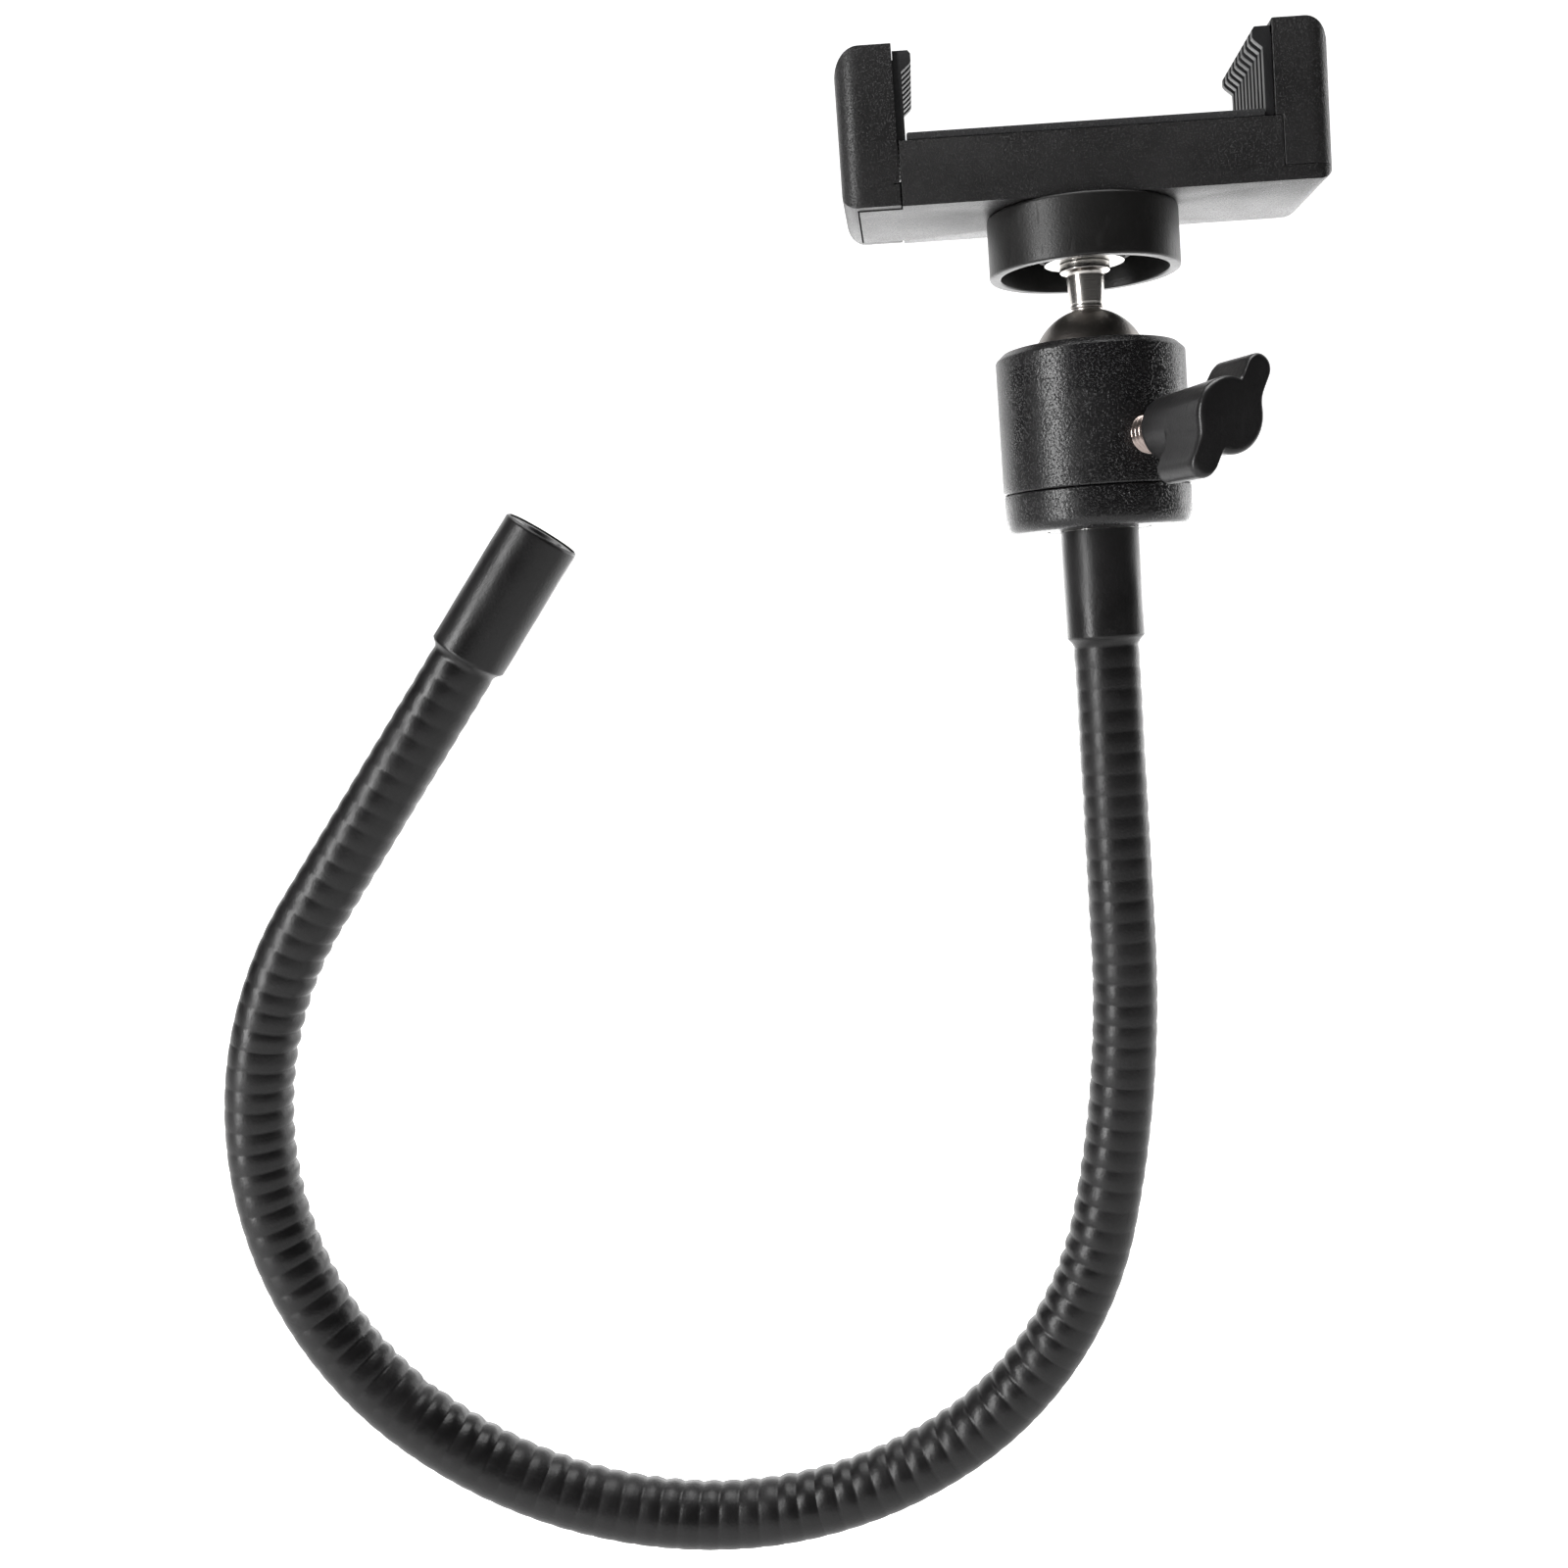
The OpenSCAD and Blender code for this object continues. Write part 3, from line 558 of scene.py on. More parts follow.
@dataclass
class Neck:
    """The shrunk sleeve over the wound neck, and the foot's ferrule.

    Radii, depths and lengths are in millimetres. Of the shares, outer_loss is
    how much of the wave is lost on the outer side of a full bend, crown_level
    how much of a crown's height lies below the radius less the wave,
    straight_crease how much of the crease is left where the neck is straight,
    and blend_reach how far to each side of a skin's joint the middle line is
    read, out of one length; nothing uses those places.
    """

    route: NeckRoute = field(default_factory=NeckRoute)
    radius: float = 5.25
    ferrule: float = 6.2
    shoulder: float = 1.5
    rings: int = 14
    around: int = 64
    per_ring: int = 12
    wave: float = 0.07
    crease: float = 0.13
    wrinkle: float = 0.24
    fold_at: float = 163.0
    fold_half: float = 0.9
    fold_depth: float = 0.5
    seed: int = 11

    ring_height: Pair = (0.55, 1.3)
    ring_lean: Pair = (0.04, 0.2)
    ring_phase: Pair = (0.0, 6.28)
    lean_gain: float = 1.6
    spare_rings: int = 4
    crease_half: float = 0.3
    outer_loss: float = 0.6
    crown_level: float = 0.4
    straight_crease: float = 0.3

    sunk: float = 0.06
    slow_dent: float = 0.018
    fast_dent: float = 0.008

    inner: float = 4.35
    mouth_wall: float = 5.68
    mouth_depth: float = 20.0
    lip_length: float = 0.45
    lip_depth: float = 0.4
    head_gap: float = 0.1
    fewest_rows: int = 8
    blend_reach: float = 0.34

    def ring_pitch(self) -> float:
        """Distance from one crease to the next."""
        return self.route.length / self.rings

    def skin_radius(self, s: np.ndarray, phi: np.ndarray) -> np.ndarray:
        """Radius of the skin at distance s and angle phi.

        It is the ferrule's radius at both ends and the neck's between them,
        joined by a quarter of a parabola that leaves the ferrule at a crisp
        edge. On the neck each ring is a low cosine wave with a narrow dip at
        the crease. Rings are taller and uneven on the inner side of a bend,
        where the skin gathers, and flatter on the outer side. One deeper
        fold crosses the inner side, and the skin over the ferrules has
        shallow dents.

        Args:
            s: Distances from the foot's mouth, shaped (rows, 1).
            phi: Angles from the inner side of the bend, shaped (1, columns).

        Returns:
            Radii in millimetres.
        """
        route, pitch = self.route, self.ring_pitch()
        draw = np.random.default_rng(self.seed)
        count = int(route.total / pitch) + self.spare_rings
        height = draw.uniform(*self.ring_height, count)
        lean = draw.uniform(*self.ring_lean, count)
        phase = draw.uniform(*self.ring_phase, count)
        ring = np.clip(((s - route.foot) / pitch).astype(int), 0, count - 1)
        slant = lean[ring] * np.sin(phi + phase[ring])
        share = ((s - route.foot) / pitch) % 1.0
        leaned = share + slant * share * (1 - share) * self.lean_gain
        crown = 0.5 - 0.5 * np.cos(2 * math.pi * leaned)
        dip = np.exp(-((np.minimum(share, 1 - share) * pitch / self.crease_half) ** 2))
        bend = route.bend_share(s)
        inner = 0.5 + 0.5 * np.cos(phi)
        gather = bend * inner ** 2
        swell = self.wave * (1 - self.outer_loss * bend * (1 - inner)) + self.wrinkle * gather * height[ring]
        groove = self.crease * (self.straight_crease + gather) * dip
        on_neck = self.radius - self.wave + swell * (crown - self.crown_level) - groove
        fold = np.exp(-(((s - self.fold_at) / self.fold_half) ** 2)) * inner ** 3
        on_neck = on_neck - self.fold_depth * fold
        edge = np.minimum(s, route.total - s)
        nearer = np.where(s < route.total / 2, route.foot, route.head)
        toward = np.clip((edge - (nearer - self.shoulder)) / self.shoulder, 0, 1)
        smooth = 1 - (1 - toward) ** 2
        dents = (self.slow_dent * np.sin(3 * phi + s * 0.2) * np.sin(s * 0.5 + 1.3)
                 + self.fast_dent * np.sin(7 * phi - s * 0.6))
        on_ferrule = self.ferrule - self.sunk + dents * (1 - toward)
        return on_ferrule * (1 - smooth) + on_neck * smooth

    def skin(self, name: str, start: float, end: float, inside: float) -> bpy.types.Object:
        """One stretch of skin, with its ends turned in to a smaller radius.

        Args:
            name: The piece's name.
            start: Distance where it starts.
            end: Distance where it ends.
            inside: Depth of the inner wall at the foot's mouth, or 0.

        Returns:
            The new object.
        """
        rows = max(self.fewest_rows, round((end - start) / self.ring_pitch() * self.per_ring))
        s = np.linspace(start, end, rows + 1)[:, None]
        phi = np.linspace(0, 2 * math.pi, self.around, endpoint=False)[None, :]
        radius = self.skin_radius(s, phi)
        if inside > 0:
            lip = np.clip((s - start) / self.lip_length, 0, 1)
            radius = radius - self.lip_depth * (1 - quarter(lip))
            first = np.array([[start + inside], [start + inside], [start]])
            ring = np.array([[self.inner], [self.mouth_wall], [self.mouth_wall]])
        else:
            first, ring = np.array([[start]]), np.array([[self.inner]])
        s = np.concatenate([first, s, [[end]]])
        ones = np.ones_like(phi)
        radius = np.concatenate([ring * ones, radius, self.inner * ones])
        heading = self.route.heading(s[:, 0])
        square = np.stack([-np.sin(heading), np.zeros_like(heading), np.cos(heading)], axis=-1)
        across = np.array([0.0, 1.0, 0.0])
        middle = self.route.place(s[:, 0])
        points = (middle[:, None, :] + (radius * np.cos(phi))[..., None] * square[:, None, :]
                  + (radius * np.sin(phi))[..., None] * across)
        return surface(name, points, sharp=60.0)

    def build(self) -> None:
        """Make the skin in seven stretches, each drawn round one joint, and the foot's socket."""
        route = self.route
        joints = [j for j in frame["joints"] if j["name"].startswith("neck_bend")]
        last = len(joints)
        for number, joint in enumerate(joints, start=1):
            here = route.joints[number]
            start = 0.0 if number == 1 else here - route.length / 2
            end = route.total - self.head_gap if number == last else here + route.length / 2
            piece = self.skin(f"neck_skin_{number}", start, end, self.mouth_depth if number == 1 else 0.0)
            hidden = [f"neck_coil_{number}"]
            hidden += ["neck_sleeve"] if number == 1 else []
            hidden += ["neck_coil_8"] if number == last else []
            DRESSER.dress(piece, SLEEVE)
            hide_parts(*hidden)
            reach = route.length * self.blend_reach
            route.point(here - reach)
            route.point(here + reach)
            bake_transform(piece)
            LOG.info("neck skin %d from %.0f to %.0f mm", number, start, end)
        self.socket()
        DRESSER.dress(frame["nodes"]["head_ferrule"], ZINC)

    def socket(self) -> None:
        """The foot's ferrule: a turned cylinder with a tapped hole."""
        heading = float(self.route.heading(np.array([0.0]))[0])
        along = np.array([math.cos(heading), 0, math.sin(heading)])
        axis = Axis(np.zeros(3), along, np.array([0.0, 1.0, 0.0]))
        deep, bore, crest, outer, recess = 12.0, 3.15, 2.6, 5.6, 0.25
        point, bevel_high, bevel_wide, near, end = 1.2, 0.7, 0.5, 0.05, self.mouth_depth
        first_turn, fade_in, fade_out = 0.5, 0.6, 0.8
        profile = rounded([
            (0, deep + point, 0), (bore, deep, 0), (bore, recess + bevel_high, 0),
            (bore + bevel_wide, recess, 0.1), (outer, recess, 0.3), (outer, end, 0.3), (0, end, 0),
        ])
        piece = axis.lathe("foot_socket", dense(profile, 0.16), around=72, sharp=50.0)
        mesh = piece.data
        flat = np.zeros(len(mesh.vertices) * 3, np.float32)
        mesh.vertices.foreach_get("co", flat)
        place = flat.reshape(-1, 3) / MM
        height = place @ axis.along
        away = place - height[:, None] * axis.along
        radius = np.linalg.norm(away, axis=1)
        turn = np.arctan2(away @ np.cross(axis.along, axis.across), away @ axis.across)
        in_bore = (radius > bore - near) & (radius < bore + near)
        fade = np.clip((deep - height) / fade_out, 0, 1)
        fade = fade * np.clip((height - recess - first_turn) / fade_in, 0, 1)
        ridge = fade * screw_thread(height, turn, STUD_PITCH, bore - crest) * in_bore
        place -= away / np.maximum(radius, TINY)[:, None] * ridge[:, None]
        mesh.vertices.foreach_set("co", (place * MM).astype(np.float32).ravel())
        mesh.update()
        DRESSER.dress(piece, FOOT_METAL)
        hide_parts("foot_ferrule")
        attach(piece, "foot")


@dataclass
class BallHead:
    """Base plate, housing, ball with its stem, knob and jam disc.

    Radii and lengths are in millimetres, angles in degrees. wing_set is how
    far a wing's middle lies beside the axis, as a share of its width.
    """

    housing_radius: float = 14.75
    base_round: float = 1.6
    play: float = 0.1
    ball: float = 9.0
    stem: float = 3.0
    collar: float = 3.9
    collar_rise: float = 1.6
    stud: float = 3.175
    knob_turn: float = 25.0
    knob_start: float = 20.0
    knob_length: float = 16.0
    hub: float = 5.4
    wing_reach: float = 10.0
    hub_taper: float = 0.7
    wing_half: float = 2.0
    wing_set: float = 0.38
    wing_lean: float = 63.0
    wing_depth: float = 9.9
    wing_ramp: float = 1.4

    def __post_init__(self) -> None:
        """Read the head's places from the CAD nodes."""
        low, high = (np.array(c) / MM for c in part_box("ball_housing"))
        self.x = float(low[0] + high[0]) / 2
        self.house_low, self.house_top = float(low[2]), float(high[2])
        self.base_low = float(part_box("base_plate")[0][2]) / MM
        self.ball_z = float(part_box("ball_stem")[0][2]) / MM + self.ball
        self.stud_top = float(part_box("ball_stem")[1][2]) / MM
        self.disc_low, self.disc_top = (float(c[2]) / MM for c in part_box("lock_disc"))
        up, right = np.array([0.0, 0.0, 1.0]), np.array([1.0, 0.0, 0.0])
        self.upright = Axis(np.array([self.x, 0.0, 0.0]), up, right)

    def build(self) -> None:
        """Make every turned piece of the head and dress the nodes inside it."""
        self.base()
        self.housing()
        self.ball_and_stem()
        self.disc()
        self.knob()
        for node, finish in (("pressure_block", ZINC), ("ball_cup", NYLON), ("disc_nut", ZINC)):
            DRESSER.dress(frame["nodes"][node], finish)

    def base(self) -> None:
        """The base plate: a disc with a round lower edge, a ring groove and a step into the housing."""
        inset, groove, deep, wide, step, step_high = 0.15, 7.8, 0.3, 0.5, 12.2, 1.0
        r, low, top = self.housing_radius - inset, self.base_low, self.house_low - self.play
        profile = rounded([
            (0, low, 0), (groove, low, 0.1), (groove, low + deep, 0), (groove + wide, low + deep, 0),
            (groove + wide, low, 0.1), (r, low, self.base_round), (r, top, 0.3), (step, top, 0),
            (step, top + step_high, 0.2), (0, top + step_high, 0),
        ])
        piece = self.upright.lathe("base_shell", dense(profile, 1.5))
        DRESSER.dress(piece, HOUSING)
        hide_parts("base_plate")
        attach(piece, "head")

    def housing(self) -> None:
        """The housing: a turned shell whose upper lip closes over the ball."""
        r, low, top, wall = self.housing_radius, self.house_low, self.house_top, 12.45
        seat, seat_low, lip, lip_wide = self.ball + self.play, 0.6, 0.25, 0.3
        bevel_high, bevel_wide = 1.1, 1.15
        start = math.asin(seat_low / seat)
        end = math.asin((top - lip - self.ball_z) / seat)
        lift = np.linspace(start, end, 8)
        arc = np.stack([seat * np.cos(lift), self.ball_z + seat * np.sin(lift)], axis=-1)
        mouth = float(arc[-1, 0])
        outer = rounded([
            (wall, self.ball_z + seat_low, 0), (wall, low, 0.2), (r, low, 0.3), (r, top - bevel_high, 0.5),
            (r - bevel_wide, top, 0.4), (mouth + lip_wide, top, 0.2), (mouth, top - lip, 0),
        ])
        piece = self.upright.lathe("ball_shell", dense(np.concatenate([arc, outer[::-1]]), 1.5), loop=True)
        DRESSER.dress(piece, HOUSING)
        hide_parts("ball_housing")
        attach(piece, "head")

    def ball_and_stem(self) -> None:
        """Ball, waisted stem, collar and threaded stud in one turning."""
        z, stem, collar, stud, top = self.ball_z, self.stem, self.collar, self.stud, self.stud_top
        waist_share, cap_share = 0.94, 0.965
        root, bead, shank = 2.4, 2.72, 2.55
        neck = waist_share * self.ball
        lift = np.linspace(-math.pi / 2, math.asin(cap_share), 40)
        arc = np.stack([self.ball * np.cos(lift), z + self.ball * np.sin(lift)], axis=-1)
        shelf = self.disc_low + self.collar_rise
        waist = z + neck
        rest = rounded([
            (root, waist + 0.15, 0), (root, waist + 0.45, 0.05), (bead, waist + 0.6, 0.1),
            (bead, waist + 0.95, 0.08), (shank, waist + 1.05, 0.05), (2.62, waist + 1.4, 0.1),
            (stem, shelf - 1.9, 0.6), (stem + 0.15, shelf - 1.5, 0.2), (collar, shelf - 1.2, 0.2),
            (collar, shelf, 0.15), (stud, shelf, 0), (stud, top - 0.5, 0.1), (stud - 0.5, top, 0.1),
            (0, top, 0),
        ])
        line = dense(np.concatenate([arc, rest]), 0.16)
        thread = (shelf + 0.1, top - 0.2, STUD_PITCH, 0.5)
        piece = self.upright.lathe("ball_and_stem", line, around=96, thread=thread, sharp=50.0)
        DRESSER.dress(piece, BALL)
        DRESSER.add(piece, STEM, lambda middle: middle[:, 2] > (waist + 0.3) * MM)
        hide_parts("ball_stem")
        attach(piece, "ball")

    def disc(self) -> None:
        """The jam disc: a shallow cup with its open side down and a hub for the nut."""
        low, top, r, wall, hub = self.disc_low, self.disc_top, 14.8, 1.7, 7.4
        bore, plate, nut, hub_rise, nut_rise = self.stud + self.play, 2.2, 6.6, 2.6, 2.9
        profile = rounded([
            (bore, top, 0.1), (r, top, 0.6), (r, low, 0.3), (r - wall, low, 0.25),
            (r - wall - 0.15, top - plate, 0.8), (hub + 0.2, top - plate, 0.8), (hub, low + hub_rise, 0.3),
            (nut, low + hub_rise, 0.1), (nut, low + nut_rise, 0), (bore, low + nut_rise, 0),
        ], closed=True)
        piece = self.upright.lathe("jam_disc", dense(profile, 1.2), loop=True)
        DRESSER.dress(piece, DISC)
        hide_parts("lock_disc")
        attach(piece, "disc")

    def wing(self, angle: np.ndarray, lean: float) -> np.ndarray:
        """Distance from the axis to the edge of one rounded wing.

        The wing is a bar set to one side of the axis: a ray at a small angle
        meets its round tip, and a wider one its straight side.

        Args:
            angle: Angles in radians.
            lean: The wing's direction in degrees.

        Returns:
            The distances, and 0 where the ray misses the wing.
        """
        far = 99.0
        turn = (angle - math.radians(lean) + math.pi) % (2 * math.pi) - math.pi
        half, offset = self.wing_half, -self.wing_set * 2 * self.wing_half
        centre = np.array([self.wing_reach - half, offset])
        along, off = np.cos(turn), np.sin(turn)
        toward = along * centre[0] + off * centre[1]
        inside = half ** 2 - (centre @ centre - toward ** 2)
        tip = np.where(inside > 0, toward + np.sqrt(np.maximum(inside, 0)), 0.0)
        upper = np.where(off > TINY, (offset + half) / np.maximum(off, TINY), far)
        lower = np.where(off < -TINY, (offset - half) / np.minimum(off, -TINY), far)
        side = np.minimum(upper, lower)
        side = np.where((along > 0) & (side * along < centre[0]), side, 0.0)
        return np.maximum(tip, side)

    def knob(self) -> None:
        """The knob: a round hub that grows two wings, and its screw.

        Round the axis the outline is a soft maximum of the hub's circle and
        the wings' edges. Along the axis the wings rise over a short ramp, and
        both ends are rounded by drawing the outline in. Rows lie closer
        together at the ends, and two smaller rings lie in the outer face.
        """
        length, plain, power = self.knob_length, 1.6, 9.0
        root_round, face_round, drawn_in = 0.6, 0.9, 0.8
        turn = math.radians(self.knob_turn)
        out = np.array([math.sin(turn), -math.cos(turn), 0.0])
        low, high = (np.array(c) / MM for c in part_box("lock_knob"))
        height = float(low[2] + high[2]) / 2
        axis = Axis(np.array([self.x, 0.0, height]), out, np.array([math.cos(turn), math.sin(turn), 0.0]))
        angle = np.linspace(0, 2 * math.pi, 180, endpoint=False)[None, :]
        z = np.concatenate([[0, 0.05, 0.2, 0.5, 1.0], np.linspace(plain, length - plain, 34),
                            length - np.array([1.2, 0.85, 0.5, 0.25, 0.08, 0.0])])[:, None]
        hub = (self.hub - self.hub_taper) + self.hub_taper * z / length
        wings = np.maximum(self.wing(angle, self.wing_lean), self.wing(angle, self.wing_lean + 180.0))
        ramp = np.clip((z - (length - self.wing_depth)) / self.wing_ramp, 0, 1)
        grown = wings * quarter(ramp)
        outline = (hub ** power + grown ** power) ** (1 / power)
        edge = np.minimum(np.clip(z / root_round, 0, 1), np.clip((length - z) / face_round, 0, 1))
        outline = outline - drawn_in * (1 - quarter(edge))
        outline = np.concatenate([outline, outline[-1:] * 0.96, outline[-1:] * 0.9])
        z = np.concatenate([z, z[-1:], z[-1:]]) * np.ones_like(angle) + self.knob_start
        points = axis.placed(outline * np.cos(angle), outline * np.sin(angle), z)
        piece = surface("winged_knob", points, sharp=55.0)
        DRESSER.dress(piece, KNOB)
        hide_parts("lock_knob")
        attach(piece, "knob")
        tip, start, tip_end, shank, end = 2.0, 5.5, 12.7, 2.95, 28.0
        profile = rounded([(0, start, 0), (tip, start, 0.2), (tip, tip_end, 0),
                           (shank, tip_end + 0.2, 0.1), (shank, end, 0.2), (0, end, 0)])
        thread = (13.0, 20.6, 1.0, 0.5)
        screw = axis.lathe("knob_screw", dense(profile, 0.1), around=72, thread=thread, sharp=50.0)
        DRESSER.dress(screw, SCREW)
        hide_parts("lock_screw")
        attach(screw, "knob")


@dataclass
class Clamp:
    """The sprung clamp: moulded pieces with rounded edges, pads and springs.

    Lengths are in millimetres, and spring_pitch is counted in wire radii.
    """

    edge: float = 0.45
    wire: float = 0.25
    spring_radius: float = 1.35
    spring_pitch: float = 2.1
    spring_end: float = 1.0

    def softened(self, node: str, name: str, finish: Finish, body: str, edge: float) -> None:
        """Stand in for a CAD node with a copy of it whose edges are rounded.

        Args:
            node: The CAD node.
            name: The new piece's name.
            finish: Its finish.
            body: The body that it rides on.
            edge: Radius of the edges in millimetres.
        """
        same_plane, corner = math.radians(1.0), math.radians(30)
        mesh = frame["nodes"][node].data.copy()
        mesh.name = name
        work = bmesh.new()
        work.from_mesh(mesh)
        bmesh.ops.remove_doubles(work, verts=work.verts, dist=CAD_MERGE)
        bmesh.ops.dissolve_limit(work, angle_limit=same_plane, verts=work.verts, edges=work.edges)
        work.to_mesh(mesh)
        work.free()
        piece = bpy.data.objects.new(name, mesh)
        bpy.context.scene.collection.objects.link(piece)
        bevel = piece.modifiers.new("soft_edges", "BEVEL")
        bevel.limit_method = "ANGLE"
        bevel.angle_limit = corner
        bevel.width = edge * MM
        bevel.segments = 3
        bevel.use_clamp_overlap = True
        mesh.shade_smooth()
        bevel.harden_normals = True
        DRESSER.dress(piece, finish)
        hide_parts(node)
        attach(piece, body)

    def spring(self, node: str, name: str) -> None:
        """A closely wound spring.

        The wire's middle line is a plain helix that stops short of the CAD
        spring at both ends. The end loops aren't drawn.

        Args:
            node: The CAD node that it stands for.
            name: The new piece's name.
        """
        low, high = (np.array(c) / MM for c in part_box(node))
        y, z = float(low[1] + high[1]) / 2, float(low[2] + high[2]) / 2
        rows_per_turn, around, radius = 14, 8, self.spring_radius
        start, end = float(low[0]) + self.spring_end, float(high[0]) - self.spring_end
        turns = (end - start) / (self.spring_pitch * self.wire)
        t = np.linspace(0, 1, int(turns * rows_per_turn) + 1)
        angle = 2 * math.pi * turns * t
        x = start + (end - start) * t
        middle = np.stack([x, y + radius * np.cos(angle), z + radius * np.sin(angle)], -1)
        way = np.gradient(middle, axis=0)
        way /= np.linalg.norm(way, axis=1)[:, None]
        out = middle - np.stack([x, np.full_like(t, y), np.full_like(t, z)], -1)
        out -= way * np.sum(out * way, axis=1)[:, None]
        out /= np.linalg.norm(out, axis=1)[:, None]
        side = np.cross(way, out)
        phi = np.linspace(0, 2 * math.pi, around, endpoint=False)[None, :, None]
        points = middle[:, None] + self.wire * (np.cos(phi) * out[:, None] + np.sin(phi) * side[:, None])
        piece = surface(name, points, sharp=60.0)
        DRESSER.dress(piece, ZINC)
        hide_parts(node)
        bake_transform(piece)

    def build(self) -> None:
        """Round and dress every moulded piece, and wind the springs."""
        plan = (("clamp_body", "beam_shell", CLAMP, "clamp_plastic", "clamp", self.edge),
                ("fixed_jaw", "fixed_arm", CLAMP, "clamp_plastic", "clamp", self.edge),
                ("moving_jaw", "sliding_arm", CLAMP, "clamp_plastic", "jaw", self.edge),
                ("clamp_cover", "beam_cover", CLAMP, "clamp_plastic", "clamp", 0.2),
                ("fixed_jaw_pad", "fixed_comb", PAD, "pad_rubber", "clamp", 0.1),
                ("moving_jaw_pad", "sliding_comb", PAD, "pad_rubber", "jaw", 0.1),
                ("foam_pad", "foam_strip", FOAM, "foam", "clamp", 0.3))
        for node, name, finish, slot, body, edge in plan:
            self.softened(node, name, finish, body, edge)
            LOG.info("clamp piece %s", name)
        self.spring("front_spring", "front_coil")
        self.spring("rear_spring", "rear_coil")
        DRESSER.dress(frame["nodes"]["tripod_nut"], BRASS)
        DRESSER.dress(frame["nodes"]["cover_screws"], ZINC)


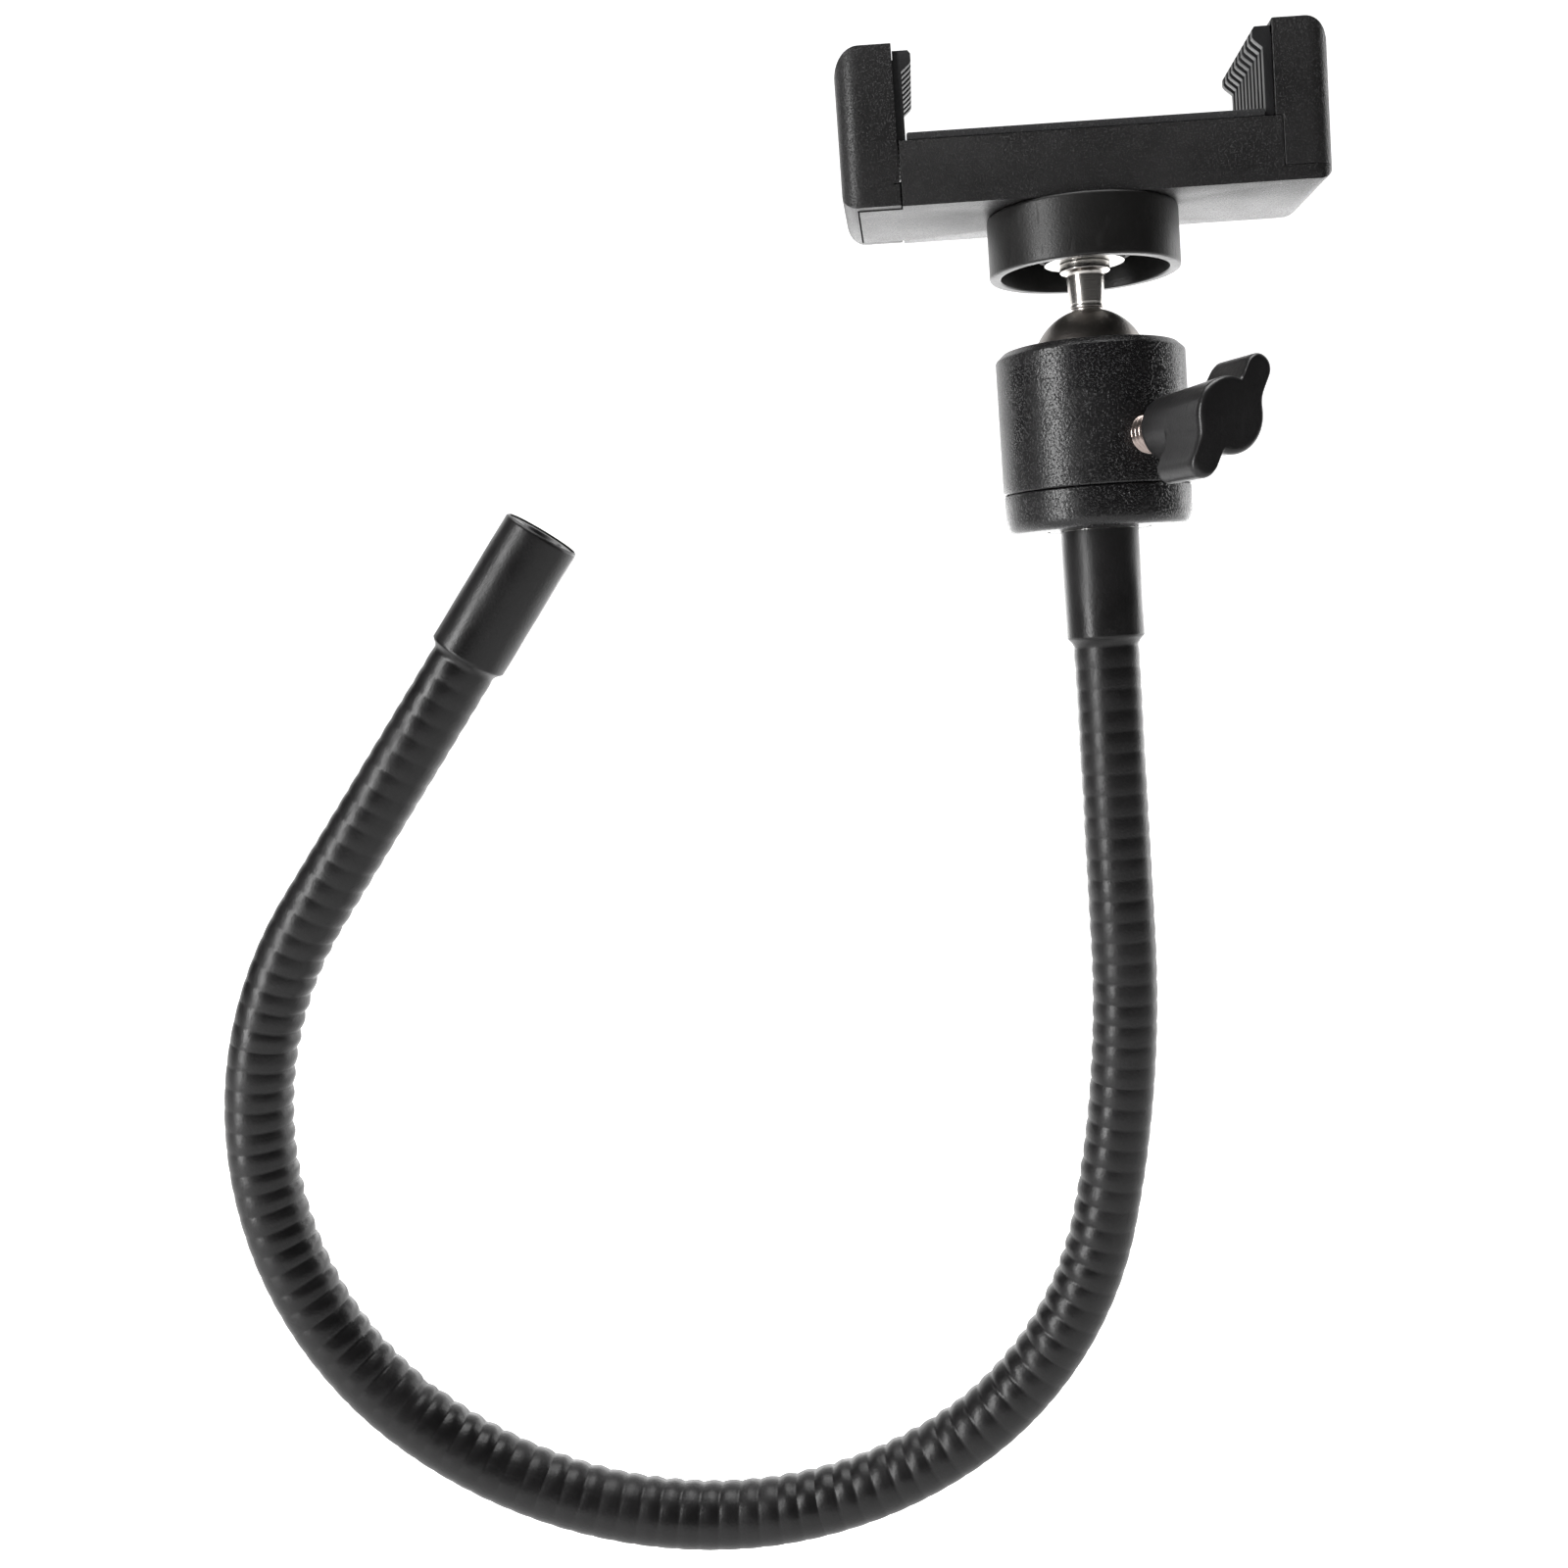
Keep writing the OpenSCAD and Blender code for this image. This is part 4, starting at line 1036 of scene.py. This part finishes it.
@dataclass
class Studio:
    """Camera, lamps, world and floor.

    The camera's place is in millimetres from the ball housing, and its angles
    are in degrees. The floor's lengths are in metres, and its drop is
    measured from the object at rest. A lift is the white added near the
    object and far behind it, and its reach says where in Y those two are.
    """

    back: float = 248.79
    left: float = 29.33
    below_top: float = 37.5
    yaw: float = 0.2
    pitch: float = -4.64
    roll: float = 3.85
    lens: float = 36.0
    sensor: float = 36.0
    shift: Pair = (-0.0875, -0.034)
    clip: Pair = (0.01, 20.0)
    soft_level: float = 0.33
    mirror_level: float = 0.04
    floor_drop: float = 0.105
    floor_front: float = -2.0
    floor_back: float = 1.6
    floor_bend: float = 0.5
    floor_top: float = 2.6
    floor_half: float = 3.0
    seen_lift: Pair = (0.72, 0.82)
    seen_reach: Pair = (0.0, 1.6)
    mirror_lift: Pair = (0.0, 1.0)
    mirror_reach: Pair = (0.05, 0.4)

    def camera(self) -> None:
        """Set the camera that the photograph was fitted with, beside the ball head."""
        low, high = (np.array(c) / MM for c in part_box("ball_housing"))
        place = Vector(((low[0] + high[0]) / 2 - self.left, -self.back, high[2] - self.below_top)) * MM
        yaw, pitch = math.radians(self.yaw), math.radians(self.pitch)
        ahead = Vector((-math.sin(yaw) * math.cos(pitch), math.cos(yaw) * math.cos(pitch), math.sin(pitch)))
        right = ahead.cross(Vector((0, 0, 1))).normalized()
        up = right.cross(ahead)
        roll = math.radians(self.roll)
        right, up = right * math.cos(roll) - up * math.sin(roll), right * math.sin(roll) + up * math.cos(roll)
        data = bpy.data.cameras.new("camera")
        data.lens, data.sensor_width, data.sensor_fit = self.lens, self.sensor, "HORIZONTAL"
        data.shift_x, data.shift_y = self.shift
        data.clip_start, data.clip_end = self.clip
        camera = bpy.data.objects.new("camera", data)
        turn = Matrix((right, up, -ahead)).transposed().to_4x4()
        camera.matrix_world = Matrix.Translation(place) @ turn
        bpy.context.scene.collection.objects.link(camera)
        bpy.context.scene.camera = camera

    def lamp(self, name: str, place: Point, size: Pair, power: float, aim: Point) -> None:
        """One soft rectangular lamp.

        Args:
            name: The lamp's name.
            place: Where it stands, in metres.
            size: Its width and height.
            power: Its power in watts.
            aim: The point that it faces.
        """
        data = bpy.data.lights.new(name, "AREA")
        data.shape, data.energy = "RECTANGLE", power
        data.size, data.size_y = size
        lamp = bpy.data.objects.new(name, data)
        lamp.visible_camera = False
        lamp.location = place
        lamp.rotation_euler = (Vector(aim) - Vector(place)).to_track_quat("-Z", "Y").to_euler()
        bpy.context.scene.collection.objects.link(lamp)

    def world(self) -> None:
        """Even soft light, white for the camera and through glass, and dark in mirrors.

        The room round the camera is dark in the photograph, so black pieces
        mirror only the lamps and the white backdrop behind them.
        """
        world = bpy.data.worlds.new("studio")
        bpy.context.scene.world = world
        world.use_nodes = True
        tree = world.node_tree
        back = tree.nodes["Background"]
        back.inputs["Color"].default_value = (1, 1, 1, 1)
        rays = tree.nodes.new("ShaderNodeLightPath").outputs
        seen = combined(tree, "MAXIMUM", rays["Is Camera Ray"], rays["Is Transmission Ray"])
        mirrored = self.mirror_level - self.soft_level
        plain = combined(tree, "MULTIPLY_ADD", rays["Is Glossy Ray"], mirrored, self.soft_level)
        tree.links.new(combined(tree, "MAXIMUM", seen, plain), back.inputs["Strength"])

    def floor(self) -> None:
        """A wide pale floor, rising behind into a backdrop.

        It lies under the lowest pose of the bent neck, so that no pose sinks into it.
        """
        lowest, bend = CAD_BOX[0][2] - self.floor_drop, self.floor_bend
        turn = np.linspace(0, math.pi / 2, 16)
        arc = np.stack([self.floor_back + bend * np.sin(turn), bend * (1 - np.cos(turn))], -1)
        front, upper = [self.floor_front, 0.0], [self.floor_back + bend, self.floor_top]
        run = np.concatenate([[front], arc, [upper]])
        across = np.array([[-self.floor_half, self.floor_half]])
        points = np.stack(np.broadcast_arrays(across, run[:, :1], run[:, 1:] + lowest), -1)
        index = np.arange(len(run) * 2).reshape(-1, 2)
        quads = np.stack([index[:-1, 0], index[:-1, 1], index[1:, 1], index[1:, 0]], -1)
        mesh = bpy.data.meshes.new("floor")
        mesh.from_pydata(points.reshape(-1, 3).tolist(), [], quads.tolist())
        mesh.shade_smooth()
        floor = bpy.data.objects.new("floor", mesh)
        bpy.context.scene.collection.objects.link(floor)
        made = bpy.data.materials.new("pale_floor")
        made.use_nodes = True
        tree = made.node_tree
        shader = tree.nodes["Principled BSDF"]
        shader.inputs["Base Color"].default_value = (*FLOOR_WHITE, 1)
        shader.inputs["Roughness"].default_value = FLOOR_ROUGH
        shader.inputs["Emission Color"].default_value = (1, 1, 1, 1)
        rays = tree.nodes.new("ShaderNodeLightPath").outputs
        place = tree.nodes.new("ShaderNodeSeparateXYZ")
        tree.links.new(tree.nodes.new("ShaderNodeTexCoord").outputs["Object"], place.inputs[0])
        added = []
        for ray, lift, reach in (("Is Camera Ray", self.seen_lift, self.seen_reach),
                                 ("Is Glossy Ray", self.mirror_lift, self.mirror_reach)):
            white = carried(tree, place.outputs["Y"], *lift, reach)
            added.append(combined(tree, "MULTIPLY", rays[ray], white))
        tree.links.new(combined(tree, "ADD", *added), shader.inputs["Emission Strength"])
        floor.data.materials.append(made)

    def build(self) -> None:
        """Set the camera first, then the lamps, the world and the floor."""
        self.camera()
        aim = (0.03, 0.0, -0.05)
        self.lamp("left_box", (-0.7, -0.55, 0.15), (0.17, 0.9), 9.0, aim)
        self.lamp("right_box", (0.8, 0.45, 0.1), (0.2, 0.9), 2.6, aim)
        self.lamp("top_box", (0.05, 0.1, 0.9), (0.8, 0.6), 8.0, aim)
        self.lamp("low_back_box", (0.1, 0.62, -0.06), (1.1, 0.18), 1.9, (0.09, 0.0, 0.04))
        self.world()
        self.floor()
        bpy.context.scene.view_settings.view_transform = "Standard"


def main() -> None:
    """Build the studio, then each sub-assembly in order."""
    logging.basicConfig(level=logging.INFO, format="%(name)s: %(message)s")
    Studio().build()
    for part in (Neck(), BallHead(), Clamp()):
        part.build()
        LOG.info("%s is built", type(part).__name__)


if __name__ == "__main__":
    main()
